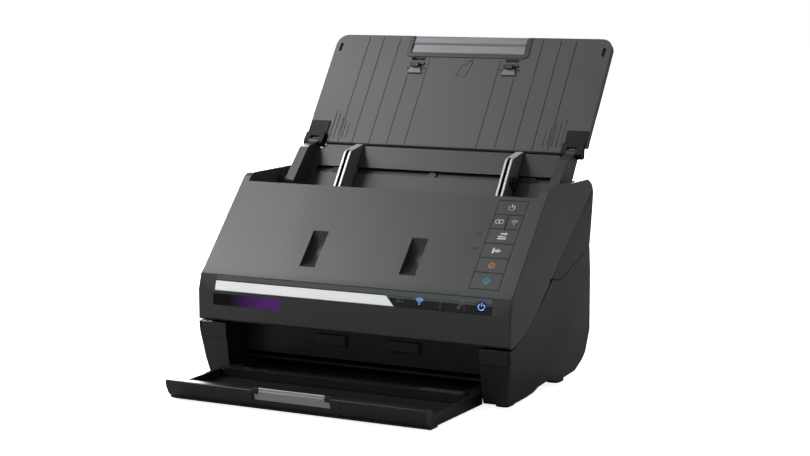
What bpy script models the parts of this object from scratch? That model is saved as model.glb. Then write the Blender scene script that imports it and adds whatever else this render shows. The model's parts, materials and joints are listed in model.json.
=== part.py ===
"""Sheet-fed photo scanner with a folding input tray and a telescopic output tray.

All lengths are in millimetres and all angles in degrees; MM turns them into Blender's metres.
+X is the scanner's right seen from the front, -Y is the front and +Z is up. Side outlines are lists of
(y, z) points measured from the middle of the body's depth and from the desk. The finished model is
moved along Y so that the middle of the whole object, trays included, is over the origin.
"""

import math

import bmesh
import bpy

MM = 0.001
GAP = 0.3  # clearance between pieces that touch
ROUND_STEPS = 24

# Body
BODY_WIDTH = 296.0
BODY_DEPTH = 169.0
SHOULDER_HEIGHT = 170.0
RIM_WIDTH = 7.8  # shoulders on both sides of the hopper
WALL = 3.0
COLUMN_WIDTH = 27.5
COLUMN_DEPTH = 34.5
COLUMN_TOP = 49.0
CAP_HEIGHT = 13.0
FOOT_TAPER = 6.0  # how far each side leans in at the desk
TAPER_HEIGHT = 40.0
HALF = BODY_WIDTH / 2
FRONT = -BODY_DEPTH / 2
REAR = BODY_DEPTH / 2
RIM_INSIDE = HALF - RIM_WIDTH
RECESS_HALF = HALF - COLUMN_WIDTH
RECESS_BACK = FRONT + COLUMN_DEPTH + WALL
DECK_FRONT = (54.0, 136.2)  # the rear cover's sloping top behind the input tray
DECK_BACK = (REAR - 3.5, 160.0)

# Sloping front panel: l runs down it from the folded tray's hinge, d stands out of it
SLOPE_ANGLE = 47.9
SLOPE_TOP = (-6.7, 170.8)
LIP_L = 10.3
PANEL_WALL = 2.5
FRONT_WALL = 3.6
RIDGE_L = 109.0
RIDGE_D = 0.8

# Paper path: s runs down it from the lid hinge, n stands out of it towards the front
PATH_ANGLE = 55.5
HINGE_Y = 81.7
HINGE_Z = 189.7
FRAME_HALF = HALF - 27.0  # outsides of the inner frames
FRAME_WALL = 3.0
GUIDE_WALL = 2.5
GUIDE_TOP_S = 61.0
GUIDE_END_S = 163.0

# Cover hinge
COVER_AXIS = (FRONT + 4.5, 56.0)
COVER_PIN_R = 1.6
COVER_BOTTOM = 50.9
COVER_FLOOR_END = FRONT + COLUMN_DEPTH

# Buttons, on the slope
BUTTON_RIGHT = HALF - 15.6
BUTTON_WIDTH = 26.1
BUTTON_TOP_L = 14.2
BUTTON_PITCH = 14.2
LAST_BUTTON = 15.9
BUTTON_DEPTH = 4.0
BUTTON_NAMES = ("power", "link", "wifi", "slow_feed", "skip", "stop", "start")

# Status strip: t runs up it from its lower edge, d stands out of it
STRIP_HALF = HALF - 17.0
STRIP_FOOT = (FRONT, 76.6)
STRIP_HEIGHT = 14.2
STRIP_DEPTH = 1.5
BAND_END_LOW = 43.0
BAND_END_HIGH = 34.2
BAND_HEIGHT = 9.3

# Scoops that clear the lid catches
SCOOP_X = 47.5
SCOOP_WIDTH = 15.0
SCOOP_MIDDLE_L = 75.5
SCOOP_LENGTH = 37.0
SCOOP_DEPTH = 8.0

# Input tray
LID_HALF = RIM_INSIDE - 0.5
LID_LENGTH = 117.3
LID_THICK = 6.0
LID_CORNER = 11.0
FOLD_GAP = 1.5  # folded lid to slope
CHUTE_LENGTH = 57.0
CHUTE_THICK = 4.6
SKIN = 1.6
ARM_INSIDE = RIM_INSIDE - 16.2
ARM_WIDTH = 9.0
ARM_HEIGHT = 15.0
PIVOT_PIN_R = 3.0
HUB_R = 8.0
LID_PIN_R = 2.0
KNUCKLE_R = 4.2
SLOT_S = 26.5
SLOT_WIDTH = 6.4
HANDLE_HALF = 57.0
HANDLE_HEIGHT = 18.0
EXTENSION_LENGTH = 77.0
EXTENSION_THICK = 2.6
CATCH_L = 82.0
CATCH_LENGTH = 12.0
CATCH_WIDTH = 12.0
CATCH_HEIGHT = 4.2

# Edge guides
PRINT_WIDTH = 152.4
FENCE_HEIGHT = 17.7
FENCE_WIDTH = 7.0
RACK_LENGTH = 121.0
RACK_WIDTH = 3.5
RACK_THICK = 1.0
PINION_R = 3.7

# Rollers
SHAFT_R = 3.0
FEED_S = 90.0
FEED_R = 11.0
DRIVE_S = 114.0
EXIT_S = 150.0
DRIVE_R = 7.0
PINCH_R = 6.0
SEPARATION_R = 9.0
SEPARATION_WIDTH = 46.0
TYRE_WIDTH = 20.0
FEED_TYRE_X = 17.0
DRIVE_TYRE_X = 60.0
WINDOW_MARGIN = 1.2
SCAN_S = 130.0
GLASS_LENGTH = 8.0
GLASS_HALF = FRAME_HALF - 11.0
GLASS_THICK = 1.4
SENSOR_LENGTH = 14.0
SENSOR_DEPTH = 11.0
PULLEY_R = 9.0
FEED_PULLEY_R = PULLEY_R * FEED_R / DRIVE_R  # equal paper speed at both rollers
PULLEY_X = FRAME_HALF + 6.0
PULLEY_WIDTH = 3.4
MOTOR_PULLEY_R = 6.0
BELT_THICK = 1.4
MOTOR_CENTRE = (48.0, 50.0)
MOTOR_R = 16.0
MOTOR_LENGTH = 26.0

# Output tray
TUNNEL_TOP = 13.5
ROOF = 2.0
EXIT_SLOT = 4.5
TUNNEL_END = 62.0
OUTPUT_HALF = RECESS_HALF - 1.0
LIP_FRONT = -175.7
LIP_TOP = 18.2
INNER_FRONT = -98.0
INNER_LENGTH = 128.0
OUTER_LENGTH = 100.0
OUTPUT_BOTTOM = 2.2
OUTPUT_FLOOR = 4.0
OUTPUT_TOP = 12.8
RAIL_WIDTH = 3.3
STOPPER_HALF = 35.0
STOPPER_LENGTH = 17.0

# Feet and ports
FOOT_X = HALF - 15.0
FOOT_LENGTH = 16.0
FOOT_WIDTH = 12.0
FRONT_FOOT_Y = -62.0
REAR_FOOT_Y = 38.0
PORT_Z = 52.0
POWER_X = -92.0
USB_X = -62.0

LID_BACK_Y = HINGE_Y + LID_LENGTH * math.cos(math.radians(PATH_ANGLE)) + LID_THICK * math.sin(
    math.radians(PATH_ANGLE)
)
BODY_Y = -(LIP_FRONT + LID_BACK_Y) / 2


# Frames of reference

def on_path(s, n):
    """The (y, z) of a point s down the paper path and n in front of it."""
    a = math.radians(PATH_ANGLE)
    return HINGE_Y - s * math.cos(a) - n * math.sin(a), HINGE_Z - s * math.sin(a) + n * math.cos(a)


def on_slope(l, d):
    """The (y, z) of a point l down the front slope and d outside it."""
    a = math.radians(SLOPE_ANGLE)
    y, z = SLOPE_TOP
    return y - l * math.cos(a) - d * math.sin(a), z - l * math.sin(a) + d * math.cos(a)


def strip_top():
    return on_slope(RIDGE_L, RIDGE_D)


def on_strip(t, d):
    """The (y, z) of a point t up the status strip and d outside it."""
    y0, z0 = STRIP_FOOT
    y1, z1 = strip_top()
    length = math.hypot(y1 - y0, z1 - z0)
    up = ((y1 - y0) / length, (z1 - z0) / length)
    return y0 + t * up[0] - d * up[1], z0 + t * up[1] + d * up[0]


def side_place(u, v, w):
    """An outline of (y, z) points, extruded along X."""
    return w, u, v


def front_place(u, v, w):
    """An outline of (x, z) points, extruded along Y."""
    return u, w, v


def flat_plan(u, v, w):
    """An outline of (x, y) points, extruded along Z."""
    return u, v, w


def path_side(u, v, w):
    """An outline of (s, n) points, extruded along X."""
    return (w, *on_path(u, v))


def path_plan(u, v, w):
    """An outline of (x, s) points, extruded along n."""
    return (u, *on_path(v, w))


def slope_side(u, v, w):
    """An outline of (l, d) points, extruded along X."""
    return (w, *on_slope(u, v))


def slope_plan(u, v, w):
    """An outline of (x, l) points, extruded along d."""
    return (u, *on_slope(v, w))


def strip_plan(u, v, w):
    """An outline of (x, t) points, extruded along d."""
    return (u, *on_strip(v, w))


def rotation_centre(start, end, angle):
    """The point about which a turn of the given angle carries start to end, all in (y, z)."""
    half = math.radians(angle) / 2
    mid = ((start[0] + end[0]) / 2, (start[1] + end[1]) / 2)
    reach = 0.5 / math.tan(half)
    return mid[0] - (end[1] - start[1]) * reach, mid[1] + (end[0] - start[0]) * reach


FOLD_ANGLE = 180.0 - PATH_ANGLE
TRAY_PIVOT = rotation_centre((HINGE_Y, HINGE_Z), on_slope(0, FOLD_GAP), FOLD_ANGLE)


# Outlines

def arc(centre, radius, start, end, steps):
    """Points on a circle from one angle to another, both ends included."""
    angles = [math.radians(start + (end - start) * i / steps) for i in range(steps + 1)]
    return [(centre[0] + radius * math.cos(a), centre[1] + radius * math.sin(a)) for a in angles]


def circle(centre, radius, steps=ROUND_STEPS):
    return arc(centre, radius, 0, 360, steps)[:-1]


def rectangle(u0, u1, v0, v1):
    return [(u0, v0), (u1, v0), (u1, v1), (u0, v1)]


def rounded(u0, u1, v0, v1, radius, steps=4):
    """A rectangle with four round corners."""
    corners = ((u1, v0, -90), (u1, v1, 0), (u0, v1, 90), (u0, v0, 180))
    middle = ((u0 + u1) / 2, (v0 + v1) / 2)
    points = []
    for u, v, start in corners:
        centre = (u - math.copysign(radius, u - middle[0]), v - math.copysign(radius, v - middle[1]))
        points += arc(centre, radius, start, start + 90, steps)
    return points


def hull(points):
    """The convex outline around a set of points."""
    def half_hull(ordered):
        kept = []
        for p in ordered:
            while len(kept) > 1:
                (ax, ay), (bx, by) = kept[-2:]
                if (bx - ax) * (p[1] - ay) - (by - ay) * (p[0] - ax) > 0:
                    break
                kept.pop()
            kept.append(p)
        return kept[:-1]

    ordered = sorted(set(points))
    return half_hull(ordered) + half_hull(ordered[::-1])


def parting_line(drop):
    """The joint between cover and base on each side, front to back, drop below its middle."""
    curve = [(FRONT, 50.0), (-78.6, 50.1), (-66.5, 54.2), (-56.0, 57.8), (-47.3, 62.2)]
    straight = [(-37.6, 69.6), (12.4, 107.5), (54.2, 140.1), (REAR - 0.5, 162.0)]
    return [(y, z - drop) for y, z in curve + straight]


def crease():
    """The joint between base housing and rear cover on each side, front to back."""
    return [(-1.6, 95.2), (8.5, 92.9), (19.0, 93.1), (33.7, 98.5), (55.1, 104.8), (REAR - 7.2, 113.0)]


# Solids

def solid(name, outline, low, high, place=side_place):
    """A closed prism of an outline between two heights, set where place puts it."""
    shape = bmesh.new()
    bottom = [shape.verts.new([c * MM for c in place(u, v, low)]) for u, v in outline]
    top = [shape.verts.new([c * MM for c in place(u, v, high)]) for u, v in outline]
    shape.faces.new(bottom)
    shape.faces.new(top)
    for i in range(len(outline)):
        j = (i + 1) % len(outline)
        shape.faces.new((bottom[i], bottom[j], top[j], top[i]))
    bmesh.ops.recalc_face_normals(shape, faces=shape.faces)
    return mesh_object(name, shape)


def turned(name, profile, centre, steps=ROUND_STEPS):
    """A round solid along X from (x, radius) points; it starts and ends on its axis unless it is a tube."""
    shape = bmesh.new()
    rings = []
    for x, radius in profile:
        count = steps if radius > 0 else 1
        points = [
            (x, centre[0] + radius * math.cos(2 * math.pi * i / steps),
             centre[1] + radius * math.sin(2 * math.pi * i / steps))
            for i in range(count)
        ]
        rings.append([shape.verts.new([c * MM for c in p]) for p in points])
    closed = profile[0][1] > 0
    last = len(rings) if closed else len(rings) - 1
    for k in range(last):
        a, b = rings[k], rings[(k + 1) % len(rings)]
        for i in range(steps):
            j = (i + 1) % steps
            corners = [a[i % len(a)], b[i % len(b)], b[j % len(b)], a[j % len(a)]]
            shape.faces.new(list(dict.fromkeys(corners)))
    bmesh.ops.recalc_face_normals(shape, faces=shape.faces)
    piece = mesh_object(name, shape)
    smooth(piece)
    return piece


def tube(name, x0, x1, inner, outer, centre):
    return turned(name, [(x0, inner), (x0, outer), (x1, outer), (x1, inner)], centre)


def rod(name, x0, x1, radius, centre):
    return turned(name, [(x0, 0), (x0, radius), (x1, radius), (x1, 0)], centre)


def mesh_object(name, shape):
    mesh = bpy.data.meshes.new(name)
    shape.to_mesh(mesh)
    shape.free()
    piece = bpy.data.objects.new(name, mesh)
    bpy.context.scene.collection.objects.link(piece)
    return piece


def smooth(piece):
    piece.data.shade_smooth()
    piece.data.set_sharp_from_angle(angle=math.radians(35))


def combine(target, tool, operation):
    """Applies one Boolean to target and removes the tool."""
    modifier = target.modifiers.new(operation, "BOOLEAN")
    modifier.operation = operation
    modifier.solver = "EXACT"
    modifier.object = tool
    bpy.context.view_layer.update()
    evaluated = target.evaluated_get(bpy.context.evaluated_depsgraph_get())
    result = bpy.data.meshes.new_from_object(evaluated)
    target.modifiers.clear()
    target.data = result
    bpy.data.objects.remove(tool)


def cut(target, *tools):
    for tool in tools:
        combine(target, tool, "DIFFERENCE")
    return target


def join(target, *tools):
    for tool in tools:
        combine(target, tool, "UNION")
    return target


def both_sides(outline, inside, outside, place=side_place):
    """The same prism on the left and on the right."""
    return (
        solid("left_tool", outline, -outside, -inside, place),
        solid("right_tool", outline, inside, outside, place),
    )


# Materials

def plastic(name, colour, roughness):
    return material(name, colour, roughness, 0.0)


def metal(name, colour, roughness):
    return material(name, colour, roughness, 1.0)


def material(name, colour, roughness, metallic):
    made = bpy.data.materials.get(name) or bpy.data.materials.new(name)
    made.use_nodes = True
    made.diffuse_color = (*colour, 1.0)
    shader = made.node_tree.nodes["Principled BSDF"]
    shader.inputs["Base Color"].default_value = (*colour, 1.0)
    shader.inputs["Roughness"].default_value = roughness
    shader.inputs["Metallic"].default_value = metallic
    return made


def charcoal_plastic():
    return plastic("charcoal_plastic", (0.075, 0.077, 0.080), 0.45)


def black_plastic():
    return plastic("black_plastic", (0.018, 0.018, 0.020), 0.5)


def grey_plastic():
    return plastic("grey_plastic", (0.085, 0.088, 0.092), 0.5)


def silver_plastic():
    return plastic("silver_plastic", (0.42, 0.43, 0.45), 0.35)


def bright_band():
    return plastic("bright_band", (0.80, 0.81, 0.82), 0.25)


def dark_window():
    return plastic("dark_window", (0.010, 0.010, 0.012), 0.08)


def clear_glass():
    return plastic("clear_glass", (0.55, 0.65, 0.68), 0.03)


def rubber():
    return plastic("rubber", (0.030, 0.030, 0.030), 0.8)


def steel():
    return metal("steel", (0.55, 0.56, 0.58), 0.3)


def circuit_board():
    return plastic("circuit_board", (0.02, 0.10, 0.05), 0.5)


# Bodies: an empty on each joint's axis carries the pieces that move together

def body(name, parent=None, x=0.0, at=(0.0, 0.0)):
    empty = bpy.data.objects.new(name, None)
    bpy.context.scene.collection.objects.link(empty)
    empty["place"] = (x, *at)
    base = parent["place"] if parent else (0.0, -BODY_Y, 0.0)
    empty.parent = parent
    empty.location = [(c - b) * MM for c, b in zip(empty["place"], base)]
    return empty


def carry(empty, finish, *pieces):
    """Moves each piece's origin to its body's empty, parents it there and gives it its material."""
    for piece in pieces:
        for vertex in piece.data.vertices:
            for axis in range(3):
                vertex.co[axis] -= empty["place"][axis] * MM
        piece.parent = empty
        piece.data.materials.clear()
        piece.data.materials.append(finish)


# Base

def base_outline():
    """The fixed housing seen from the right, from the front top clockwise round the bottom."""
    under = [(FRONT, COLUMN_TOP), (-80.2, 16.2), (-76.8, 3.4), (-73.0, 2.3), (-42.0, 3.2), (-28.2, 4.5)]
    rear = [(-18.2, 7.5), (0.2, 8.9), (21.2, 3.8), (57.8, 6.1), (REAR - 13.6, 13.3), (REAR - 7.1, 20.9)]
    back = [(REAR - 5.3, 38.2), (REAR - 5.3, 91.0), (REAR - 7.2, 112.6)]
    top = [(y, z - GAP) for y, z in reversed(crease())]
    front_top = [point for point in reversed(parting_line(GAP)) if point[0] < -2.0]
    return under + rear + back + top[1:] + front_top[:-1]


def side_taper(piece):
    """Leans the outsides in towards the desk."""
    outer = HALF + 20.0
    wedge = [(HALF, TAPER_HEIGHT), (HALF - FOOT_TAPER, 0.0), (HALF - FOOT_TAPER, -5.0), (outer, -5.0),
             (outer, TAPER_HEIGHT)]
    for sign in (-1, 1):
        tool = solid("taper_tool", wedge, FRONT - 10, REAR + 10, lambda u, v, w: (sign * u, w, v))
        cut(piece, tool)


def base_housing():
    piece = solid("base_housing", base_outline(), -HALF, HALF)
    side_taper(piece)
    roof_top = TUNNEL_TOP + ROOF
    above = 260.0
    recess = rectangle(FRONT - 10, RECESS_BACK + GAP, -5, above)
    tunnel = rectangle(FRONT - 10, TUNNEL_END, -5, TUNNEL_TOP)
    for opening in (recess, tunnel):
        cut(piece, solid("front_opening", opening, -RECESS_HALF, RECESS_HALF))
    inside = HALF - WALL
    low_inside = HALF - FOOT_TAPER - WALL
    room_back = [(REAR - 8.3, 95.0), (REAR - 10.2, above)]
    room_front = RECESS_BACK - GAP
    middle = [(room_front, roof_top), (REAR - 19.0, roof_top), (REAR - 8.3, roof_top + 10)]
    cut(piece, solid("upper_room", middle + room_back + [(room_front, above)], -low_inside, low_inside))
    column_back = FRONT + COLUMN_DEPTH
    upper = [(column_back, 45.0), (REAR - 8.3, 45.0), *room_back, (column_back, above)]
    cut(piece, solid("wide_room", upper, -inside, inside))
    under_cap = COLUMN_TOP - CAP_HEIGHT - WALL
    lower = [(-75.0, 6.5), (-45.0, 6.5), (-20.0, 11.0), (20.0, 11.0), (45.0, 9.0), (REAR - 16.0, 18.0),
             (REAR - 9.0, 40.0), (REAR - 9.0, 60.0), (column_back, 60.0), (column_back, under_cap),
             (-81.3, under_cap), (-79.0, 16.0)]
    cut(piece, *both_sides(lower, RECESS_HALF + 2.5, low_inside))
    pocket = rectangle(FRONT - 5, column_back - WALL, COLUMN_TOP - CAP_HEIGHT, above)
    cut(piece, *both_sides(pocket, RECESS_HALF - 1, HALF - 2.5))
    for x in (POWER_X, USB_X):
        cut(piece, solid("port", port_outline(x, GAP), REAR - 20, REAR, front_place))
    return piece


def port_outline(x, margin):
    return rectangle(x - 7 - margin, x + 7 + margin, PORT_Z - 6 - margin, PORT_Z + 6 + margin)


def rear_cover():
    joint = [(y, z + GAP) for y, z in crease()]
    back = [(REAR - 3.3, 134.0), (REAR - 1.0, 148.0), (REAR, 157.0), (REAR - 0.5, 161.0)]
    top = [point for point in reversed(parting_line(GAP)) if point[0] > 5.0]
    piece = solid("rear_cover", joint + back + top[1:] + [(2.0, 98.9)], -HALF, HALF)
    far = 260.0
    over = [DECK_FRONT, DECK_BACK, (REAR + 5, 166.0), (REAR + 5, far), (-30.0, far), (-30.0, 80.0),
            (DECK_FRONT[0], 80.0)]
    cut(piece, solid("over_deck", over, -RIM_INSIDE, RIM_INSIDE))
    deck_under = DECK_FRONT[1] - 4.5
    under = [(-30.0, 80.0), (REAR - 10.4, 80.0), (REAR - 10.4, 113.0), (REAR - 6.5, 134.0),
             (REAR - 4.6, 156.0), (DECK_FRONT[0] - 3, deck_under), (-30.0, deck_under)]
    cut(piece, solid("under_deck", under, -HALF + WALL, HALF - WALL))
    return piece


def column_cap(name, sign):
    """The block on a front column, with the lug and pin that the cover turns on."""
    inside = RECESS_HALF
    outside = HALF - 2.5 - GAP
    back = FRONT + COLUMN_DEPTH - WALL - GAP
    bottom = COLUMN_TOP - CAP_HEIGHT + GAP
    block = [(FRONT + 1.1, bottom), (back, bottom), (back, COLUMN_TOP), (FRONT + 0.2, COLUMN_TOP)]
    piece = solid(name, block, inside, outside)
    axis_y, axis_z = COVER_AXIS
    root = COLUMN_TOP - 1
    lug = arc(COVER_AXIS, 2.4, 0, 240, 12) + [(axis_y + 4.2, axis_z - 5.2), (axis_y + 5.0, root),
                                              (axis_y + 13.0, root)]
    join(piece, solid("lug", lug, HALF - 14.0, HALF - 8.4))
    join(piece, rod("pin", HALF - 9.0, HALF - 4.2, COVER_PIN_R, COVER_AXIS))
    if sign < 0:
        mirror(piece)
    return piece


def mirror(piece):
    """Turns a right-hand piece into its left-hand twin."""
    for vertex in piece.data.vertices:
        vertex.co.x = -vertex.co.x
    piece.data.flip_normals()


def exit_panel():
    """The wall above the paper exit, with two shallow hooded tabs."""
    bottom = TUNNEL_TOP + ROOF + EXIT_SLOT
    back = RECESS_BACK
    wall = rectangle(back - WALL, back, bottom, COLUMN_TOP - 0.5)
    piece = solid("exit_panel", wall, -RECESS_HALF + GAP, RECESS_HALF - GAP)
    face = back - WALL
    for x in (-35.0, 35.0):
        hood = [(face + 1, 41.0), (face - 2.0, 41.0), (face - 2.6, 31.0), (face + 1, 31.0)]
        join(piece, solid("tab", hood, x - 15.0, x + 15.0))
    return piece


def foot(name, x, y, height):
    wide, long = FOOT_WIDTH / 2, FOOT_LENGTH / 2
    outline = rounded(x - wide, x + wide, y - long, y + long, 4.0, 3)
    return solid(name, outline, 0.0, height, flat_plan)


def feet():
    pieces = []
    for place, y, height in (("front", FRONT_FOOT_Y, 2.2), ("rear", REAR_FOOT_Y, 4.0)):
        for side, x in (("left", -FOOT_X), ("right", FOOT_X)):
            pieces.append(foot(f"foot_{place}_{side}", x, y, height))
    return pieces


def power_inlet():
    face = REAR - 5.2
    piece = solid("power_inlet", port_outline(POWER_X, 0), face - 11, face, front_place)
    socket = circle((POWER_X, PORT_Z), 3.6)
    cut(piece, solid("barrel", socket, face - 9, face + 1, front_place))
    pin = circle((POWER_X, PORT_Z), 1.0, 12)
    return join(piece, solid("contact", pin, face - 10, face - 1.5, front_place))


def usb_port():
    face = REAR - 5.2
    piece = solid("usb_port", port_outline(USB_X, 0), face - 11, face, front_place)
    mouth = [(USB_X - 4.3, PORT_Z - 4.4), (USB_X + 4.3, PORT_Z - 4.4), (USB_X + 4.3, PORT_Z + 2.0),
             (USB_X + 2.4, PORT_Z + 4.4), (USB_X - 2.4, PORT_Z + 4.4), (USB_X - 4.3, PORT_Z + 2.0)]
    return cut(piece, solid("mouth", mouth, face - 9, face + 1, front_place))


def main_board():
    outline = rectangle(-FRAME_HALF + 21.0, FRAME_HALF - 21.0, TUNNEL_TOP + 18, 105.0)
    return solid("main_board", outline, REAR - 18.0, REAR - 16.4, front_place)


def feed_motor():
    face = FRAME_HALF - 9.0
    collar = face + 3.0
    profile = [(face - MOTOR_LENGTH, 0), (face - MOTOR_LENGTH, MOTOR_R), (face, MOTOR_R), (face, 5.0),
               (collar, 5.0), (collar, 0)]
    piece = turned("feed_motor", profile, MOTOR_CENTRE)
    return join(piece, rod("spindle", collar - 2, PULLEY_X - PULLEY_WIDTH / 2 - GAP, 1.5, MOTOR_CENTRE))


def above_deck(y):
    """A point that clears the rear cover's deck by the gap."""
    slope = (DECK_BACK[1] - DECK_FRONT[1]) / (DECK_BACK[0] - DECK_FRONT[0])
    return y, DECK_FRONT[1] + (y - DECK_FRONT[0]) * slope + GAP * math.hypot(1, slope)


def tray_bracket(name, sign):
    """The tower on the deck in which one side of the input tray turns."""
    outline = arc(TRAY_PIVOT, HUB_R, -20, 200, 14) + [(52.5, 137.4), above_deck(56.0), above_deck(66.0)]
    piece = solid(name, outline, RIM_INSIDE - 4.2, RIM_INSIDE - 0.6)
    cut(piece, rod("bore", RIM_INSIDE - 6, RIM_INSIDE + 2, PIVOT_PIN_R + GAP, TRAY_PIVOT))
    if sign < 0:
        mirror(piece)
    return piece


# Paper path

def window(x, s, length, width):
    """A cutter for one opening in a guide plate."""
    outline = rectangle(x - width / 2, x + width / 2, s - length / 2, s + length / 2)
    return solid("window", outline, -6.0, 6.0, path_plan)


def chord(radius, depth):
    """Half the width of a roller's cross-section at a depth from its outside."""
    return math.sqrt(radius * radius - (radius - depth) ** 2)


def roller_windows(plate, rows):
    """Cuts a window for each roller: rows of (s, radius, standoff, centres, width)."""
    for s, radius, depth, centres, width in rows:
        length = 2 * (chord(radius, depth) + WINDOW_MARGIN)
        for x in centres:
            cut(plate, window(x, s, length, width + 2 * WINDOW_MARGIN))


def frame_sides(plate, outline, bores):
    """Adds the two side plates of a paper path frame and drills them for the shafts."""
    for tool in both_sides(outline, FRAME_HALF - FRAME_WALL, FRAME_HALF):
        join(plate, tool)
    for centre, radius in bores:
        cut(plate, rod("bore", -FRAME_HALF - 2, FRAME_HALF + 2, radius, centre))
    return plate


def lower_frame():
    back = -1.0 - GUIDE_WALL
    plate = solid("lower_frame", rectangle(GUIDE_TOP_S, GUIDE_END_S, back, -1.0), -FRAME_HALF + 1,
                  FRAME_HALF - 1, path_side)
    floor = TUNNEL_TOP + ROOF + GAP
    end = on_path(GUIDE_END_S, -1.0)
    outline = [on_path(GUIDE_TOP_S, -1.0), end, (end[0] - 4, floor), (REAR - 20.0, floor),
               (REAR - 20.0, 110.0), (53.0, 126.0), (50.5, 133.5)]
    bore = SHAFT_R + GAP
    frame_sides(plate, outline, [(on_path(FEED_S, -FEED_R), bore), (on_path(DRIVE_S, -DRIVE_R), bore),
                                 (on_path(EXIT_S, -DRIVE_R), bore), (MOTOR_CENTRE, 2.2)])
    depth = 1.0 + GUIDE_WALL
    tyres = (-DRIVE_TYRE_X, DRIVE_TYRE_X)
    roller_windows(plate, [
        (FEED_S, FEED_R, depth, (-FEED_TYRE_X, FEED_TYRE_X), TYRE_WIDTH),
        (DRIVE_S, DRIVE_R, depth, tyres, TYRE_WIDTH),
        (EXIT_S, DRIVE_R, depth, tyres, TYRE_WIDTH),
    ])
    return cut(plate, window(0, SCAN_S, GLASS_LENGTH + 2 * GAP, 2 * GLASS_HALF + 2 * GAP))


def upper_frame():
    plate = solid("upper_frame", rectangle(80.0, GUIDE_END_S, 1.0, 1.0 + GUIDE_WALL), -FRAME_HALF + 1,
                  FRAME_HALF - 1, path_side)
    outline = [(80.0, 1.0), (GUIDE_END_S, 1.0), (GUIDE_END_S - 3, 17.0), (140.0, 22.0), (84.0, 22.0)]
    outline = [on_path(*point) for point in outline]
    bore = SHAFT_R + GAP
    frame_sides(plate, outline, [(on_path(FEED_S, SEPARATION_R + GAP), bore),
                                 (on_path(DRIVE_S, PINCH_R + GAP), bore),
                                 (on_path(EXIT_S, PINCH_R + GAP), bore)])
    tyres = (-DRIVE_TYRE_X, DRIVE_TYRE_X)
    depth = 1.0 + GUIDE_WALL
    roller_windows(plate, [
        (FEED_S, SEPARATION_R, depth, (0,), SEPARATION_WIDTH),
        (DRIVE_S, PINCH_R, depth, tyres, TYRE_WIDTH),
        (EXIT_S, PINCH_R, depth, tyres, TYRE_WIDTH),
    ])
    return cut(plate, window(0, SCAN_S, GLASS_LENGTH + 2 * GAP, 2 * GLASS_HALF + 2 * GAP))


def scan_glass(name, sign):
    near, far = sorted((sign * 1.2, sign * (1.2 + GLASS_THICK)))
    half = GLASS_LENGTH / 2
    outline = rectangle(SCAN_S - half, SCAN_S + half, near, far)
    return solid(name, outline, -GLASS_HALF, GLASS_HALF, path_side)


def sensor_bar(name, sign):
    near, far = sorted((sign * (1.3 + GUIDE_WALL), sign * (1.3 + GUIDE_WALL + SENSOR_DEPTH)))
    half = SENSOR_LENGTH / 2
    outline = rectangle(SCAN_S - half, SCAN_S + half, near, far)
    return solid(name, outline, -GLASS_HALF - 4, GLASS_HALF + 4, path_side)


def roller(name, s, n, radius, tyre_x, width, pulley_r=0):
    """A shaft along X with its tyres moulded on, and a pulley at its right end if it is driven."""
    centre = on_path(s, n)
    end = PULLEY_X + PULLEY_WIDTH / 2 if pulley_r else FRAME_HALF + 1.5
    profile = [(-FRAME_HALF - 1.5, 0), (-FRAME_HALF - 1.5, SHAFT_R)]
    for x in tyre_x:
        low, high = x - width / 2, x + width / 2
        profile += [(low, SHAFT_R), (low, radius), (high, radius), (high, SHAFT_R)]
    if pulley_r:
        low = PULLEY_X - PULLEY_WIDTH / 2
        profile += [(low, SHAFT_R), (low, pulley_r), (end, pulley_r), (end, 0)]
    else:
        profile += [(end, SHAFT_R), (end, 0)]
    return turned(name, profile, centre)


def feed_tyre(name, x):
    low, high = x - TYRE_WIDTH / 2, x + TYRE_WIDTH / 2
    return tube(name, low, high, SHAFT_R + GAP, FEED_R, on_path(FEED_S, -FEED_R))


def motor_pulley():
    low, high = PULLEY_X - PULLEY_WIDTH / 2, PULLEY_X + PULLEY_WIDTH / 2
    return turned("motor_pulley", [(low, 0), (low, MOTOR_PULLEY_R), (high, MOTOR_PULLEY_R), (high, 0)],
                  MOTOR_CENTRE)


def belt_loop(margin):
    """The outline of a belt's face around the driven pulleys and the motor's."""
    wheels = [(on_path(FEED_S, -FEED_R), FEED_PULLEY_R), (on_path(DRIVE_S, -DRIVE_R), PULLEY_R),
              (on_path(EXIT_S, -DRIVE_R), PULLEY_R), (MOTOR_CENTRE, MOTOR_PULLEY_R)]
    return hull([point for centre, radius in wheels for point in circle(centre, radius + margin)])


def drive_belt():
    low, high = PULLEY_X - PULLEY_WIDTH / 2, PULLEY_X + PULLEY_WIDTH / 2
    piece = solid("drive_belt", belt_loop(GAP + BELT_THICK), low, high)
    return cut(piece, solid("belt_inside", belt_loop(GAP), low - 1, high + 1))


# Cover

def cover_outline():
    """The opening cover seen from the right, from its rear top clockwise."""
    front = [on_slope(5.5, 0), on_slope(RIDGE_L - 7, 0), strip_top(), STRIP_FOOT, (FRONT, 52.6),
             (FRONT + 1.6, COVER_BOTTOM)]
    shoulder = [(REAR - 1.0, 162.6), (REAR - 4.1, 166.8), (REAR - 10.9, SHOULDER_HEIGHT + 0.4),
                (-1.5, SHOULDER_HEIGHT), (-6.5, 169.2)]
    joint = parting_line(-GAP)[1:-1]
    joint[0] = (-79.6, COVER_BOTTOM)
    return shoulder + front + joint


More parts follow.
